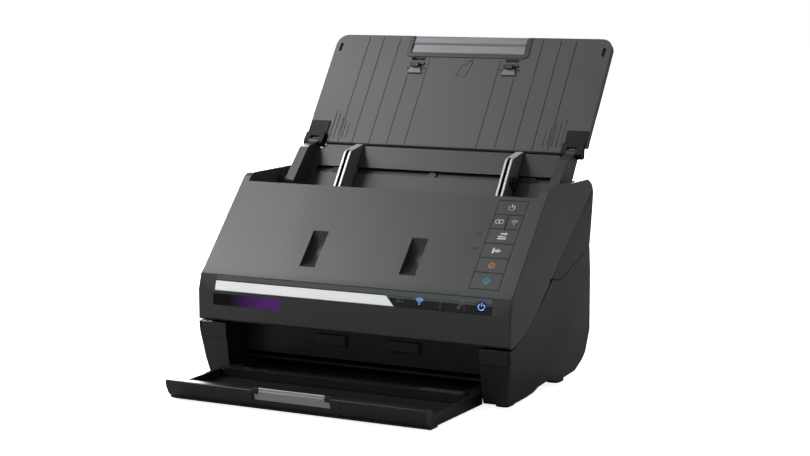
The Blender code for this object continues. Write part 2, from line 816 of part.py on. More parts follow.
def scanner_cover():
    piece = solid("scanner_cover", cover_outline(), -HALF, HALF)
    lip_under = on_slope(LIP_L, -PANEL_WALL)
    far = 260.0
    inside_front = FRONT + FRONT_WALL
    room = [on_slope(LIP_L, 40.0), lip_under, on_slope(RIDGE_L - 7, -PANEL_WALL),
            (inside_front + 1.5, 88.0), (inside_front, 76.0), (inside_front, COVER_BOTTOM + PANEL_WALL),
            (COVER_FLOOR_END, COVER_BOTTOM + PANEL_WALL), (COVER_FLOOR_END, 20.0), (REAR + 20, 20.0),
            (REAR + 20, far)]
    cut(piece, solid("room", room, -RIM_INSIDE, RIM_INSIDE))
    for x in (-SCOOP_X, SCOOP_X):
        add_scoop(piece, x)
    left = BUTTON_RIGHT - BUTTON_WIDTH
    foot = BUTTON_TOP_L + button_rows_length()
    keys = rectangle(left - GAP, BUTTON_RIGHT + GAP, BUTTON_TOP_L - GAP, foot + GAP)
    cut(piece, solid("button_window", keys, -8.0, 4.0, slope_plan))
    strip = rectangle(-STRIP_HALF - GAP, STRIP_HALF + GAP, 0.2, STRIP_HEIGHT - 0.2)
    cut(piece, solid("strip_pocket", strip, -STRIP_DEPTH - GAP, 3.0, strip_plan))
    slot = rectangle(COVER_AXIS[0] - 3.0, COVER_FLOOR_END + 3, 48.0, COVER_AXIS[1] + 5)
    cut(piece, *both_sides(slot, HALF - 14.6, RIM_INSIDE + 0.1))
    for side in (-1, 1):
        ends = sorted((side * (RIM_INSIDE - 1), side * (HALF - 3.6)))
        cut(piece, rod("hinge_bore", *ends, COVER_PIN_R + GAP, COVER_AXIS))
    lever_pocket = [(-44.0, 96.0), (-17.5, 118.0), (-22.0, 123.5), (-48.5, 101.5)]
    return cut(piece, solid("lever_pocket", lever_pocket, -HALF - 1, -HALF + 5.0))


def add_scoop(cover, x):
    """A pocket behind the slope with a round hollow in it that clears a lid catch."""
    half = SCOOP_LENGTH / 2
    radius = (half * half + SCOOP_DEPTH * SCOOP_DEPTH) / (2 * SCOOP_DEPTH)
    boss = rectangle(SCOOP_MIDDLE_L - half - 2, SCOOP_MIDDLE_L + half + 2, -SCOOP_DEPTH - 2, -1.0)
    join(cover, solid("scoop_boss", boss, x - SCOOP_WIDTH / 2 - 2, x + SCOOP_WIDTH / 2 + 2, slope_side))
    hollow = circle((SCOOP_MIDDLE_L, radius - SCOOP_DEPTH), radius, 48)
    cut(cover, solid("scoop_hollow", hollow, x - SCOOP_WIDTH / 2, x + SCOOP_WIDTH / 2, slope_side))


def hopper_floor():
    """The sloping floor behind the lip, down which the originals' leading edges run."""
    top = (on_slope(LIP_L + 0.6, -PANEL_WALL - GAP), on_path(77.5, 3.4))
    a = math.atan2(top[1][1] - top[0][1], top[1][0] - top[0][0])
    down = (math.sin(a) * PANEL_WALL, -math.cos(a) * PANEL_WALL)
    outline = [top[0], top[1], (top[1][0] + down[0], top[1][1] + down[1]),
               (top[0][0] + down[0], top[0][1] + down[1])]
    return solid("hopper_floor", outline, -RIM_INSIDE + 0.4, RIM_INSIDE - 0.4)


def status_window():
    edge = 0.5
    outline = [(-STRIP_HALF, BAND_HEIGHT + GAP), (BAND_END_HIGH + GAP, BAND_HEIGHT + GAP),
               (BAND_END_LOW + GAP, edge), (STRIP_HALF, edge), (STRIP_HALF, STRIP_HEIGHT - edge),
               (-STRIP_HALF, STRIP_HEIGHT - edge)]
    return solid("status_window", outline, -STRIP_DEPTH, 0.0, strip_plan)


def status_band():
    outline = [(-STRIP_HALF, 0.5), (BAND_END_LOW, 0.5), (BAND_END_HIGH, BAND_HEIGHT),
               (-STRIP_HALF, BAND_HEIGHT)]
    return solid("status_band", outline, -STRIP_DEPTH, 0.0, strip_plan)


def button_rows_length():
    """The length of the button block down the slope; one of its rows holds two buttons."""
    return (len(BUTTON_NAMES) - 2) * BUTTON_PITCH + LAST_BUTTON


def button_boxes():
    """The name and slope rectangle of each button, top to bottom; the second row holds two."""
    left = BUTTON_RIGHT - BUTTON_WIDTH
    middle = left + BUTTON_WIDTH / 2
    spans = {"link": (left, middle - GAP), "wifi": (middle + GAP, BUTTON_RIGHT)}
    row = 0
    for name in BUTTON_NAMES:
        low = BUTTON_TOP_L + row * BUTTON_PITCH
        height = LAST_BUTTON if name == BUTTON_NAMES[-1] else BUTTON_PITCH
        x0, x1 = spans.get(name, (left, BUTTON_RIGHT))
        yield name, rectangle(x0, x1, low + GAP / 2, low + height - GAP / 2)
        row += 0 if name == "link" else 1


def control_board():
    left = BUTTON_RIGHT - BUTTON_WIDTH
    foot = BUTTON_TOP_L + button_rows_length() - 4
    outline = rectangle(left - 3, BUTTON_RIGHT + 3, BUTTON_TOP_L, foot)
    return solid("control_board", outline, -BUTTON_DEPTH - 4.0, -BUTTON_DEPTH - 2.4, slope_plan)


def release_lever():
    """A finger slide in the cover's left side that lets the cover open."""
    outline = [(-40.9, 99.6), (-24.0, 113.6), (-27.8, 118.3), (-44.7, 104.3)]
    return solid("cover_release_lever", outline, -HALF + 0.4, -HALF + 4.6)


# Input tray

def tray_chute():
    """The swinging lower part of the input tray: floor, two side arms and their pivot pins."""
    section = [(1.6, 0.0), (1.6, -CHUTE_THICK + 1.4), (3.6, -CHUTE_THICK + 1.4), (3.6, -SKIN),
               (CHUTE_LENGTH - 2.4, -SKIN), (CHUTE_LENGTH - 2.4, -CHUTE_THICK + 1.4),
               (CHUTE_LENGTH - 0.4, -CHUTE_THICK + 1.4), (CHUTE_LENGTH - 0.4, 0.0)]
    piece = solid("tray_chute", section, -ARM_INSIDE - 1, ARM_INSIDE + 1, path_side)
    slot_half = ARM_INSIDE - 6.0
    slot = rectangle(-slot_half, slot_half, SLOT_S - SLOT_WIDTH / 2, SLOT_S + SLOT_WIDTH / 2)
    cut(piece, solid("guide_slot", slot, -SKIN - 2, 2.0, path_plan))
    for ear_room in both_sides(rectangle(-1.0, KNUCKLE_R + 1, -CHUTE_THICK - 1, 1.0), ARM_INSIDE - 5.6,
                               ARM_INSIDE + 2, path_side):
        cut(piece, ear_room)
    pivot_s, pivot_n = pivot_on_path()
    hub = arc((pivot_s, pivot_n), HUB_R - 1.5, -20, 110, 10)
    arm = [(KNUCKLE_R, -CHUTE_THICK), (CHUTE_LENGTH, -CHUTE_THICK), (CHUTE_LENGTH, 4.0)] + hub
    arm += [(13.0, ARM_HEIGHT)] + arc((0, 0), KNUCKLE_R, 70, 270, 10)
    for tool in both_sides(arm, ARM_INSIDE, ARM_INSIDE + ARM_WIDTH, path_side):
        join(piece, tool)
    outer = ARM_INSIDE + ARM_WIDTH
    cut(piece, rod("left_bore", -outer - 1, -ARM_INSIDE + 2, LID_PIN_R + GAP, (HINGE_Y, HINGE_Z)))
    cut(piece, rod("right_bore", ARM_INSIDE - 2, outer + 1, LID_PIN_R + GAP, (HINGE_Y, HINGE_Z)))
    boss_end, pin_end = RIM_INSIDE - 4.2 - GAP, RIM_INSIDE - 0.9
    boss_r = HUB_R - 1.8
    stub = [(outer - 1, 0), (outer - 1, boss_r), (boss_end, boss_r), (boss_end, PIVOT_PIN_R),
            (pin_end, PIVOT_PIN_R), (pin_end, 0)]
    for side in (-1, 1):
        join(piece, turned("pivot_pin", [(side * x, radius) for x, radius in stub], TRAY_PIVOT))
    return piece


def pivot_on_path():
    """The tray pivot in (s, n)."""
    a = math.radians(PATH_ANGLE)
    dy, dz = TRAY_PIVOT[0] - HINGE_Y, TRAY_PIVOT[1] - HINGE_Z
    return -dy * math.cos(a) - dz * math.sin(a), -dy * math.sin(a) + dz * math.cos(a)


def chute_back():
    outline = rectangle(3.0, CHUTE_LENGTH - 0.5, -CHUTE_THICK, -CHUTE_THICK + 1.2)
    return solid("chute_back", outline, -ARM_INSIDE + GAP, ARM_INSIDE - GAP, path_side)


def edge_guide(name, sign):
    """A sliding fence with its foot through the slot and its rack under the floor."""
    inner = PRINT_WIDTH / 2 + GAP
    outer = inner + FENCE_WIDTH
    foot = CHUTE_LENGTH - 0.5
    fence = [(0.8, 0.4), (0.8, 2.0), (16.0, FENCE_HEIGHT - 0.8), (19.0, FENCE_HEIGHT),
             (foot, FENCE_HEIGHT), (foot, 0.4)]
    piece = solid(name, fence, inner, outer, path_side)
    half = SLOT_WIDTH / 2 - 0.4
    under = -SKIN - GAP
    stem = rectangle(SLOT_S - half, SLOT_S + half, under - RACK_THICK, 1.0)
    join(piece, solid("stem", stem, inner, outer, path_side))
    rack_s = SLOT_S - sign * (PINION_R + GAP + RACK_WIDTH / 2)
    low = min(rack_s - RACK_WIDTH / 2, SLOT_S - half)
    high = max(rack_s + RACK_WIDTH / 2, SLOT_S + half)
    join(piece, solid("web", rectangle(low, high, under - RACK_THICK, under), inner, outer, path_side))
    rack = rectangle(rack_s - RACK_WIDTH / 2, rack_s + RACK_WIDTH / 2, under - RACK_THICK, under)
    join(piece, solid("rack", rack, outer - RACK_LENGTH, outer, path_side))
    if sign < 0:
        mirror(piece)
    return piece


def guide_pinion():
    top = -SKIN - GAP
    return solid("guide_pinion", circle((0.0, SLOT_S), PINION_R), top - RACK_THICK, top, path_plan)


def lid_outline():
    """The lid seen from its front, in (x, s), with round top corners."""
    top = -LID_LENGTH
    right = LID_HALF - LID_CORNER
    upper = arc((right, top + LID_CORNER), LID_CORNER, 0, -90, 6)
    upper += [(-x, s) for x, s in reversed(upper)]
    foot_x = ARM_INSIDE - 6.5
    lower = [(-LID_HALF, -9.0), (-foot_x, -9.0), (-foot_x, -1.2), (foot_x, -1.2), (foot_x, -9.0),
             (LID_HALF, -9.0)]
    return upper + lower


def tray_lid():
    piece = solid("tray_lid", lid_outline(), -LID_THICK, 0.0, path_plan)
    half = HANDLE_HALF + GAP
    notch = rectangle(-half, half, -LID_LENGTH - 5, -LID_LENGTH + HANDLE_HEIGHT + GAP)
    front = -LID_THICK + 1.2
    cut(piece, solid("handle_notch", notch, front, 2.0, path_plan))
    channel = rectangle(-half, half, -LID_LENGTH - 5, -LID_LENGTH + EXTENSION_LENGTH + GAP)
    return cut(piece, solid("channel", channel, front, front + EXTENSION_THICK + 2 * GAP, path_plan))


def tray_extension():
    """A slide-out support whose silver top edge is the lid's handle."""
    back = -LID_THICK + 1.2 + GAP
    front = back + EXTENSION_THICK
    top = -LID_LENGTH
    plate = rectangle(-HANDLE_HALF, HANDLE_HALF, top + 0.2, top + EXTENSION_LENGTH)
    piece = solid("tray_extension", plate, back, front, path_plan)
    grip = rectangle(-HANDLE_HALF, HANDLE_HALF, top + 0.2, top + HANDLE_HEIGHT)
    return join(piece, solid("grip", grip, back + 1, -0.4, path_plan))


def lid_bracket(name, sign):
    """The hinge fork on a lower corner of the lid, with its pin through the chute's arm."""
    inner_ear = (ARM_INSIDE - 5.0, ARM_INSIDE - GAP)
    outer_ear = (ARM_INSIDE + ARM_WIDTH + GAP, LID_HALF - 1.0)
    plate = FOLD_GAP - 0.4
    block = [(-23.0, GAP), (-9.3, GAP), (-5.6, -1.5), (-5.6, 3.2), (-9.0, 3.6), (-9.4, plate),
             (-23.0, plate)]
    piece = solid(name, block, inner_ear[0], outer_ear[1], path_side)
    ear = arc((0, 0), KNUCKLE_R, -90, 90, 8) + [(-7.5, 3.2), (-7.5, -0.6)]
    for low, high in (inner_ear, outer_ear):
        join(piece, solid("ear", ear, low, high, path_side))
    join(piece, rod("pin", inner_ear[1] - 1, outer_ear[0] + 1, LID_PIN_R, (HINGE_Y, HINGE_Z)))
    if sign < 0:
        mirror(piece)
    return piece


def lid_catch(name, x):
    """A small hook that drops into a scoop when the lid is folded down."""
    upper, lower = -CATCH_L - CATCH_LENGTH / 2, -CATCH_L + CATCH_LENGTH / 2
    outline = [(upper, GAP), (lower, GAP), (lower, 1.4), (upper + 3.5, CATCH_HEIGHT), (upper, CATCH_HEIGHT)]
    return solid(name, outline, x - CATCH_WIDTH / 2, x + CATCH_WIDTH / 2, path_side)


# Output tray

def output_tray():
    """The inner stage, which slides in the base."""
    half = OUTPUT_HALF - RAIL_WIDTH - 0.6
    low = OUTPUT_BOTTOM + OUTPUT_FLOOR + GAP
    back = INNER_FRONT + INNER_LENGTH
    piece = solid("output_tray", rectangle(INNER_FRONT, back, low, OUTPUT_TOP), -half, half)
    hollow = rectangle(INNER_FRONT + 12, back - 4, low + 2.5, OUTPUT_TOP + 5)
    cut(piece, solid("dish", hollow, -half + 9, half - 9))
    bar = rectangle(INNER_FRONT, INNER_FRONT + 9, OUTPUT_TOP - 1, OUTPUT_TOP + 1.4)
    join(piece, solid("bar", bar, -half + 2, half - 2))
    for side in (-1, 1):
        for inset in (39.0, 21.0, 13.0):
            x = side * (half - inset)
            hole = rectangle(x - 1.2, x + 1.2, INNER_FRONT + 2.5, INNER_FRONT + 5.5)
            cut(piece, solid("hole", hole, OUTPUT_TOP - 1, OUTPUT_TOP + 5, flat_plan))
    return piece


def output_extension():
    """The outer stage, which carries the front lip and slides under the inner one."""
    back = LIP_FRONT + OUTER_LENGTH
    floor = rectangle(LIP_FRONT + 7, back, OUTPUT_BOTTOM, OUTPUT_BOTTOM + OUTPUT_FLOOR)
    piece = solid("output_extension", floor, -OUTPUT_HALF, OUTPUT_HALF)
    rail = rectangle(LIP_FRONT + 7, back, OUTPUT_BOTTOM, OUTPUT_TOP)
    for tool in both_sides(rail, OUTPUT_HALF - RAIL_WIDTH, OUTPUT_HALF):
        join(piece, tool)
    face = [(0.0, LIP_TOP), (0.6, 13.0), (4.0, 6.5), (8.5, 2.2), (9.3, 1.0), (21.0, 1.0), (21.0, 5.0),
            (9.0, LIP_TOP)]
    face = [(LIP_FRONT + y, z) for y, z in face]
    join(piece, solid("lip", face, -OUTPUT_HALF, OUTPUT_HALF))
    seat = rectangle(LIP_FRONT - 1, LIP_FRONT + 30, 9.6, LIP_TOP + 5)
    return cut(piece, solid("stopper_seat", seat, -STOPPER_HALF - 0.5, STOPPER_HALF + 0.5))


def stopper_axis():
    return LIP_FRONT + STOPPER_LENGTH - 2.0, 12.2


def paper_stopper():
    """The flap in the middle of the lip that stands up to stop long or fast sheets."""
    y, z = stopper_axis()
    tip = [(LIP_FRONT + 1.0, LIP_TOP - 0.2), (LIP_FRONT + 0.4, LIP_TOP - 0.8), (LIP_FRONT + 2.4, 10.0)]
    outline = arc((y, z), 2.0, -90, 90, 8) + tip
    return solid("paper_stopper", outline, -STOPPER_HALF, STOPPER_HALF)


# Assembly

def clear_scene():
    for thing in list(bpy.data.objects):
        bpy.data.objects.remove(thing)


def build_base(origin):
    carry(origin, black_plastic(), base_housing(), rear_cover(), exit_panel(), lower_frame())
    for side, sign in (("left", -1), ("right", 1)):
        carry(origin, black_plastic(), column_cap(f"column_cap_{side}", sign),
              tray_bracket(f"tray_bracket_{side}", sign))
    carry(origin, rubber(), drive_belt(), *feet())
    carry(origin, clear_glass(), scan_glass("lower_glass", -1))
    carry(origin, black_plastic(), sensor_bar("lower_sensor_bar", -1), power_inlet())
    carry(origin, steel(), usb_port(), feed_motor())
    carry(origin, circuit_board(), main_board())


def build_drive(origin):
    feed = body("feed_axle", origin, at=on_path(FEED_S, -FEED_R))
    carry(feed, steel(), roller("feed_shaft", FEED_S, -FEED_R, 0, (), 0, FEED_PULLEY_R))
    for side, x in (("left", -FEED_TYRE_X), ("right", FEED_TYRE_X)):
        carry(feed, rubber(), feed_tyre(f"feed_tyre_{side}", x))
    for name, s in (("drive_roller", DRIVE_S), ("exit_roller", EXIT_S)):
        axle = body(f"{name}_axle", origin, at=on_path(s, -DRIVE_R))
        tyres = (-DRIVE_TYRE_X, DRIVE_TYRE_X)
        carry(axle, rubber(), roller(name, s, -DRIVE_R, DRIVE_R, tyres, TYRE_WIDTH, PULLEY_R))
    spindle = body("motor_axle", origin, at=MOTOR_CENTRE)
    carry(spindle, steel(), motor_pulley())


def build_cover(origin):
    hinge = body("cover_hinge", origin, at=COVER_AXIS)
    carry(hinge, charcoal_plastic(), scanner_cover())
    carry(hinge, black_plastic(), hopper_floor(), upper_frame(), sensor_bar("upper_sensor_bar", 1))
    carry(hinge, clear_glass(), scan_glass("upper_glass", 1))
    carry(hinge, bright_band(), status_band())
    carry(hinge, dark_window(), status_window())
    carry(hinge, circuit_board(), control_board())
    rollers = [("separation_roller", FEED_S, SEPARATION_R, (0,), SEPARATION_WIDTH),
               ("drive_pinch_roller", DRIVE_S, PINCH_R, (-DRIVE_TYRE_X, DRIVE_TYRE_X), TYRE_WIDTH),
               ("exit_pinch_roller", EXIT_S, PINCH_R, (-DRIVE_TYRE_X, DRIVE_TYRE_X), TYRE_WIDTH)]
    for name, s, radius, tyres, width in rollers:
        axle = body(f"{name}_axle", hinge, at=on_path(s, radius + GAP))
        carry(axle, rubber(), roller(name, s, radius + GAP, radius, tyres, width))
    for name, outline in button_boxes():
        x, l = [sum(c) / len(c) for c in zip(*outline)]
        key = body(f"{name}_button_slide", hinge, x=x, at=on_slope(l, 0))
        carry(key, charcoal_plastic(), solid(f"button_{name}", outline, -BUTTON_DEPTH, 0.0, slope_plan))
    lever = body("release_lever_slide", hinge, x=-HALF, at=(-34.3, 109.0))
    carry(lever, black_plastic(), release_lever())


def build_input_tray(origin):
    pivot = body("tray_pivot", origin, at=TRAY_PIVOT)
    carry(pivot, black_plastic(), tray_chute(), chute_back())
    for side, sign in (("left", -1), ("right", 1)):
        inner = PRINT_WIDTH / 2 + GAP
        slide = body(f"guide_{side}_slide", pivot, x=sign * inner, at=on_path(SLOT_S, 0))
        carry(slide, grey_plastic(), edge_guide(f"edge_guide_{side}", sign))
    gear = body("guide_pinion_axle", pivot, at=on_path(SLOT_S, -SKIN))
    carry(gear, black_plastic(), guide_pinion())
    hinge = body("lid_hinge", pivot, at=(HINGE_Y, HINGE_Z))
    carry(hinge, grey_plastic(), tray_lid())
    for side, sign in (("left", -1), ("right", 1)):
        carry(hinge, black_plastic(), lid_bracket(f"lid_bracket_{side}", sign),
              lid_catch(f"lid_catch_{side}", sign * SCOOP_X))
    slide = body("extension_slide", hinge, at=on_path(-LID_LENGTH, -LID_THICK / 2))
    carry(slide, silver_plastic(), tray_extension())


def build_output_tray(origin):
    inner = body("output_tray_slide", origin, at=(INNER_FRONT, OUTPUT_TOP))
    carry(inner, black_plastic(), output_tray())
    outer = body("output_extension_slide", inner, at=(LIP_FRONT, LIP_TOP))
    carry(outer, black_plastic(), output_extension())
    flap = body("stopper_hinge", outer, at=stopper_axis())
    carry(flap, silver_plastic(), paper_stopper())


def main():
    clear_scene()
    origin = body("scanner")
    build_base(origin)
    build_drive(origin)
    build_cover(origin)
    build_input_tray(origin)
    build_output_tray(origin)


main()
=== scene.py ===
"""Looks for the sheet-fed photo scanner: materials, rounded shells and fine detail around the frame.

Outlines and depths are in millimetres and objects are in metres. Each detail is placed on a face of the
frame's own nodes, and Face.at turns its outline into points.
"""

import json
import math

import bmesh
import bpy
from mathutils import Matrix, Vector


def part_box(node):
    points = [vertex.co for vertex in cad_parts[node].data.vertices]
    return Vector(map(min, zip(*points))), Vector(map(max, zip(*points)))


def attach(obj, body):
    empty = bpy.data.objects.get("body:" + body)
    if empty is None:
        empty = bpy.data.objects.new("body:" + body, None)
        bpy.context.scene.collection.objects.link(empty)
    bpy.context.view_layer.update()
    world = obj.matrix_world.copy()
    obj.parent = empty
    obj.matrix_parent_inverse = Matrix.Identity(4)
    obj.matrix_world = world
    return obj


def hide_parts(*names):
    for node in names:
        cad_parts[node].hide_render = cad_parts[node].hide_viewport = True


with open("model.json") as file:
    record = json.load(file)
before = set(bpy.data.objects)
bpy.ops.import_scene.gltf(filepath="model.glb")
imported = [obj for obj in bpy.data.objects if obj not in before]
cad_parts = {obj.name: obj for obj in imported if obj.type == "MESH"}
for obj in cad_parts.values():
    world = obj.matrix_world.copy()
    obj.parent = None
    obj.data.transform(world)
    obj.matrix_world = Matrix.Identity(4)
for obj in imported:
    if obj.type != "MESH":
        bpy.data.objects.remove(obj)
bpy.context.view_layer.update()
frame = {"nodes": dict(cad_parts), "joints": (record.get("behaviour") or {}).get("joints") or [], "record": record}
NODES = frame["nodes"]
BUTTONS = [node for node in NODES if node.startswith("button")]
BODIES = frame["record"]["behaviour"]["bodies"]
BODY_OF = {node: body for body, nodes in BODIES.items() for node in nodes}
MM = 0.001
WELD_GAP = 0.005 * MM
FLAT_ANGLE = math.radians(1)  # faces within this are one flat face
PROUD = 0.00005  # millimetres that printed marks stand off what they are printed on
SIDES = ((-1, "left"), (1, "right"))


# Places

class Face:
    """A flat face of the frame: u runs to the right, v up the face and w out of it, in millimetres.

    It is the node's largest face that looks towards a direction. v is 0 at its low or high edge.
    """

    def __init__(self, node, v_zero="low", towards=(0, -1, 0)):
        mesh = NODES[node].data
        facing = [polygon for polygon in mesh.polygons if polygon.normal.dot(Vector(towards)) > 0.3]
        largest = max(facing, key=lambda polygon: polygon.area)
        self.out = largest.normal.copy()
        self.right = Vector((1, 0, 0))
        self.up = self.out.cross(self.right)
        height = largest.center.dot(self.out)
        on_face = [vertex.co for vertex in mesh.vertices if abs(vertex.co.dot(self.out) - height) < MM]
        reach = [point.dot(self.up) for point in on_face]
        start = min(reach) if v_zero == "low" else max(reach)
        self.origin = self.out * height + self.up * start
        self.length = (max(reach) - min(reach)) / MM

    def at(self, u, v, w=0.0):
        return self.origin + (self.right * u + self.up * v + self.out * w) * MM

    def find(self, point):
        """The (u, v) of a point in the frame."""
        offset = (Vector(point) - self.origin) / MM
        return offset.dot(self.right), offset.dot(self.up)


class Flat(Face):
    """A face given by a point and two directions."""

    def __init__(self, origin, right, up):
        self.origin = Vector(origin)
        self.right = Vector(right)
        self.up = Vector(up)
        self.out = self.right.cross(self.up)


def middle(node):
    low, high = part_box(node)
    return (low + high) / 2


# Outlines, as lists of (u, v) in millimetres

def arc(centre, radius, start, end, steps=16):
    angles = [math.radians(start + (end - start) * i / steps) for i in range(steps + 1)]
    return [(centre[0] + radius * math.cos(a), centre[1] + radius * math.sin(a)) for a in angles]


def disc(centre, radius, steps=24):
    return arc(centre, radius, 0, 360, steps)[:-1]


def rectangle(u0, u1, v0, v1):
    return [(u0, v0), (u1, v0), (u1, v1), (u0, v1)]


def centred(centre, width, height):
    u, v = centre
    return rectangle(u - width / 2, u + width / 2, v - height / 2, v + height / 2)


def rounded(u0, u1, v0, v1, radius):
    corners = ((u1 - radius, v0 + radius, -90), (u1 - radius, v1 - radius, 0),
               (u0 + radius, v1 - radius, 90), (u0 + radius, v0 + radius, 180))
    return [point for u, v, start in corners for point in arc((u, v), radius, start, start + 90, 5)]


def band(centre, radius, width, start, end, steps=20):
    """A piece of a ring."""
    inner = arc(centre, radius - width / 2, start, end, steps)
    return arc(centre, radius + width / 2, start, end, steps) + inner[::-1]


def stroke(a, b, width):
    """A straight bar from a to b."""
    du, dv = b[0] - a[0], b[1] - a[1]
    half = width / 2 / math.hypot(du, dv)
    left_u, left_v = -dv * half, du * half
    return [(a[0] + left_u, a[1] + left_v), (a[0] - left_u, a[1] - left_v),
            (b[0] - left_u, b[1] - left_v), (b[0] + left_u, b[1] + left_v)]


def joined_up(points, width):
    """Straight bars of a width, from each point to the next and back to the first."""
    return [stroke(points[i], points[(i + 1) % len(points)], width) for i in range(len(points))]


def across(side, inner, outer):
    """The span from one distance off the middle to another, on the left (-1) or the right (1)."""
    return sorted((side * inner, side * outer))


def moved(outline, du, dv):
    return [(u + du, v + dv) for u, v in outline]


# Solids

def add_prism(shape, outline, low, high, face):
    bottom = [shape.verts.new(face.at(u, v, low)) for u, v in outline]
    top = [shape.verts.new(face.at(u, v, high)) for u, v in outline]
    shape.faces.new(bottom[::-1])
    shape.faces.new(top)
    for i in range(len(outline)):
        j = (i + 1) % len(outline)
        shape.faces.new((bottom[i], bottom[j], top[j], top[i]))


def bare_object(name, shape, finish):
    bmesh.ops.recalc_face_normals(shape, faces=shape.faces)
    mesh = bpy.data.meshes.new(name)
    shape.to_mesh(mesh)
    shape.free()
    made = bpy.data.objects.new(name, mesh)
    bpy.context.scene.collection.objects.link(made)
    made.data.materials.append(finish)
    return made


def prism_object(name, face, parts, finish):
    """An object made of prisms: parts are (outline, low, high)."""
    shape = bmesh.new()
    for outline, low, high in parts:
        add_prism(shape, outline, low, high, face)
    return bare_object(name, shape, finish)


def prisms(name, face, parts, body, finish, edge=0.0):
    """A piece made of prisms, which rides on a body."""
    made = prism_object(name, face, parts, finish)
    if edge:
        soften(made, edge)
    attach(made, body)
    return made


def carve(piece, face, parts, finish):
    """Cuts prisms out of a piece; the cut faces take the finish."""
    tool = prism_object("carving_tool", face, parts, finish)
    cut = piece.modifiers.new("carve", "BOOLEAN")
    cut.operation = "DIFFERENCE"
    cut.solver = "EXACT"
    cut.material_mode = "TRANSFER"
    cut.object = tool
    graph = bpy.context.evaluated_depsgraph_get()
    mesh = bpy.data.meshes.new_from_object(piece.evaluated_get(graph))
    piece.modifiers.remove(cut)
    piece.data = mesh
    bpy.data.objects.remove(tool)


def add_bevel(piece, width, angle):
    bevel = piece.modifiers.new("edge", "BEVEL")
    bevel.width = width * MM
    bevel.segments = 2
    bevel.limit_method = "ANGLE"
    bevel.angle_limit = math.radians(angle)


def soften(piece, width, angle=30):
    """Rounds a piece's sharp edges by a width in millimetres and shades it smooth."""
    add_bevel(piece, width, angle)
    shade(piece)


def shade(piece):
    piece.data.shade_smooth()
    piece.data.set_sharp_from_angle(angle=math.radians(45))
    weighted = piece.modifiers.new("shading", "WEIGHTED_NORMAL")
    weighted.keep_sharp = True


def tidy_node(node, width):
    """Gives a frame node clean faces and fine rounded edges."""
    thing = NODES[node]
    weld = thing.modifiers.new("weld", "WELD")
    weld.merge_threshold = WELD_GAP
    flat = thing.modifiers.new("flat", "DECIMATE")
    flat.decimate_type = "DISSOLVE"
    flat.angle_limit = FLAT_ANGLE
    add_bevel(thing, width, 30)
    weighted = thing.modifiers.new("shading", "WEIGHTED_NORMAL")
    weighted.keep_sharp = False
    thing.data.shade_smooth()


def shell(node, rounds, finish, fine=0.35, carvings=()):
    """A copy of a frame node that stands for it, with rounded edges and carved detail.

    rounds are (test, radius): test takes the middle of an edge and its two face normals.
    carvings are (face, parts, finish of the cut).
    """
    shape = bmesh.new()
    shape.from_mesh(NODES[node].data)
    bmesh.ops.remove_doubles(shape, verts=shape.verts, dist=WELD_GAP)
    bmesh.ops.dissolve_limit(shape, angle_limit=FLAT_ANGLE, verts=shape.verts, edges=shape.edges)
    for test, radius in rounds:
        shape.normal_update()
        outer = [edge for edge in shape.edges if is_outer(edge)]
        chosen = [edge for edge in outer if test(edge_middle(edge), *[f.normal for f in edge.link_faces])]
        bmesh.ops.bevel(shape, geom=chosen, offset=radius * MM, segments=5, profile=0.5, affect="EDGES",
                        clamp_overlap=True, offset_type="OFFSET")
    made = bare_object(f"{node}_shell", shape, finish)
    if "custom_normal" in made.data.attributes:
        made.data.attributes.remove(made.data.attributes["custom_normal"])
    for face, parts, cut_finish in carvings:
        carve(made, face, parts, cut_finish)
    if fine:
        soften(made, fine, angle=28)
    else:
        shade(made)
    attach(made, BODY_OF[node])
    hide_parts(node)
    return made


def edge_middle(edge):
    return (edge.verts[0].co + edge.verts[1].co) / 2


def is_outer(edge):
    return len(edge.link_faces) == 2 and edge.is_convex and edge.calc_face_angle(0) > math.radians(25)


def slot_of(node):
    return next(s["material_slot"] for s in frame["record"]["subparts"] if s["node"] == node)


# Materials

TEXTURE_RANGE = (0.3, 0.7)  # the share of a noise texture's range that it mostly stays in


def new_material(name, colour, roughness, metallic=0.0, coat=0.0):
    made = bpy.data.materials.new(name)
    made.use_nodes = True
    made.diffuse_color = (*colour, 1)
    shader = shader_of(made)
    shader.inputs["Base Color"].default_value = (*colour, 1)
    shader.inputs["Roughness"].default_value = roughness
    shader.inputs["Metallic"].default_value = metallic
    shader.inputs["Coat Weight"].default_value = coat
    return made


def shader_of(material):
    return material.node_tree.nodes["Principled BSDF"]


def add_node(material, kind, **inputs):
    """A new node, with values for inputs whose names are given with _ for spaces."""
    node = material.node_tree.nodes.new(kind)
    for name, value in inputs.items():
        node.inputs[name.replace("_", " ")].default_value = value
    return node


def link(material, source, target):
    material.node_tree.links.new(source, target)


def object_point(material):
    """The point of the surface in the object's own frame."""
    return add_node(material, "ShaderNodeTexCoord").outputs["Object"]


def noise(material, scale, detail=3.0, stretch=(1, 1, 1)):
    mapping = add_node(material, "ShaderNodeMapping", Scale=stretch)
    texture = add_node(material, "ShaderNodeTexNoise", Scale=scale, Detail=detail)
    link(material, object_point(material), mapping.inputs["Vector"])
    link(material, mapping.outputs["Vector"], texture.inputs["Vector"])
    return texture.outputs["Fac"]


def colour_ramp(material, first, last, factor):
    """Colours the surface from the first colour to the last, as a factor goes from 0 to 1."""
    ramp = add_node(material, "ShaderNodeValToRGB")
    for element, colour in zip(ramp.color_ramp.elements, (first, last)):
        element.color = (*colour, 1)
    link(material, factor, ramp.inputs["Fac"])
    link(material, ramp.outputs["Color"], shader_of(material).inputs["Base Color"])
    return ramp.color_ramp


def vary_colour(material, colour, amount, factor):
    """Lets the colour wander by a share around its mean, following a texture."""
    darker, lighter = [[c * gain for c in colour] for gain in (1 - amount, 1 + amount)]
    ramp = colour_ramp(material, darker, lighter, factor)
    for element, position in zip(ramp.elements, TEXTURE_RANGE):
        element.position = position


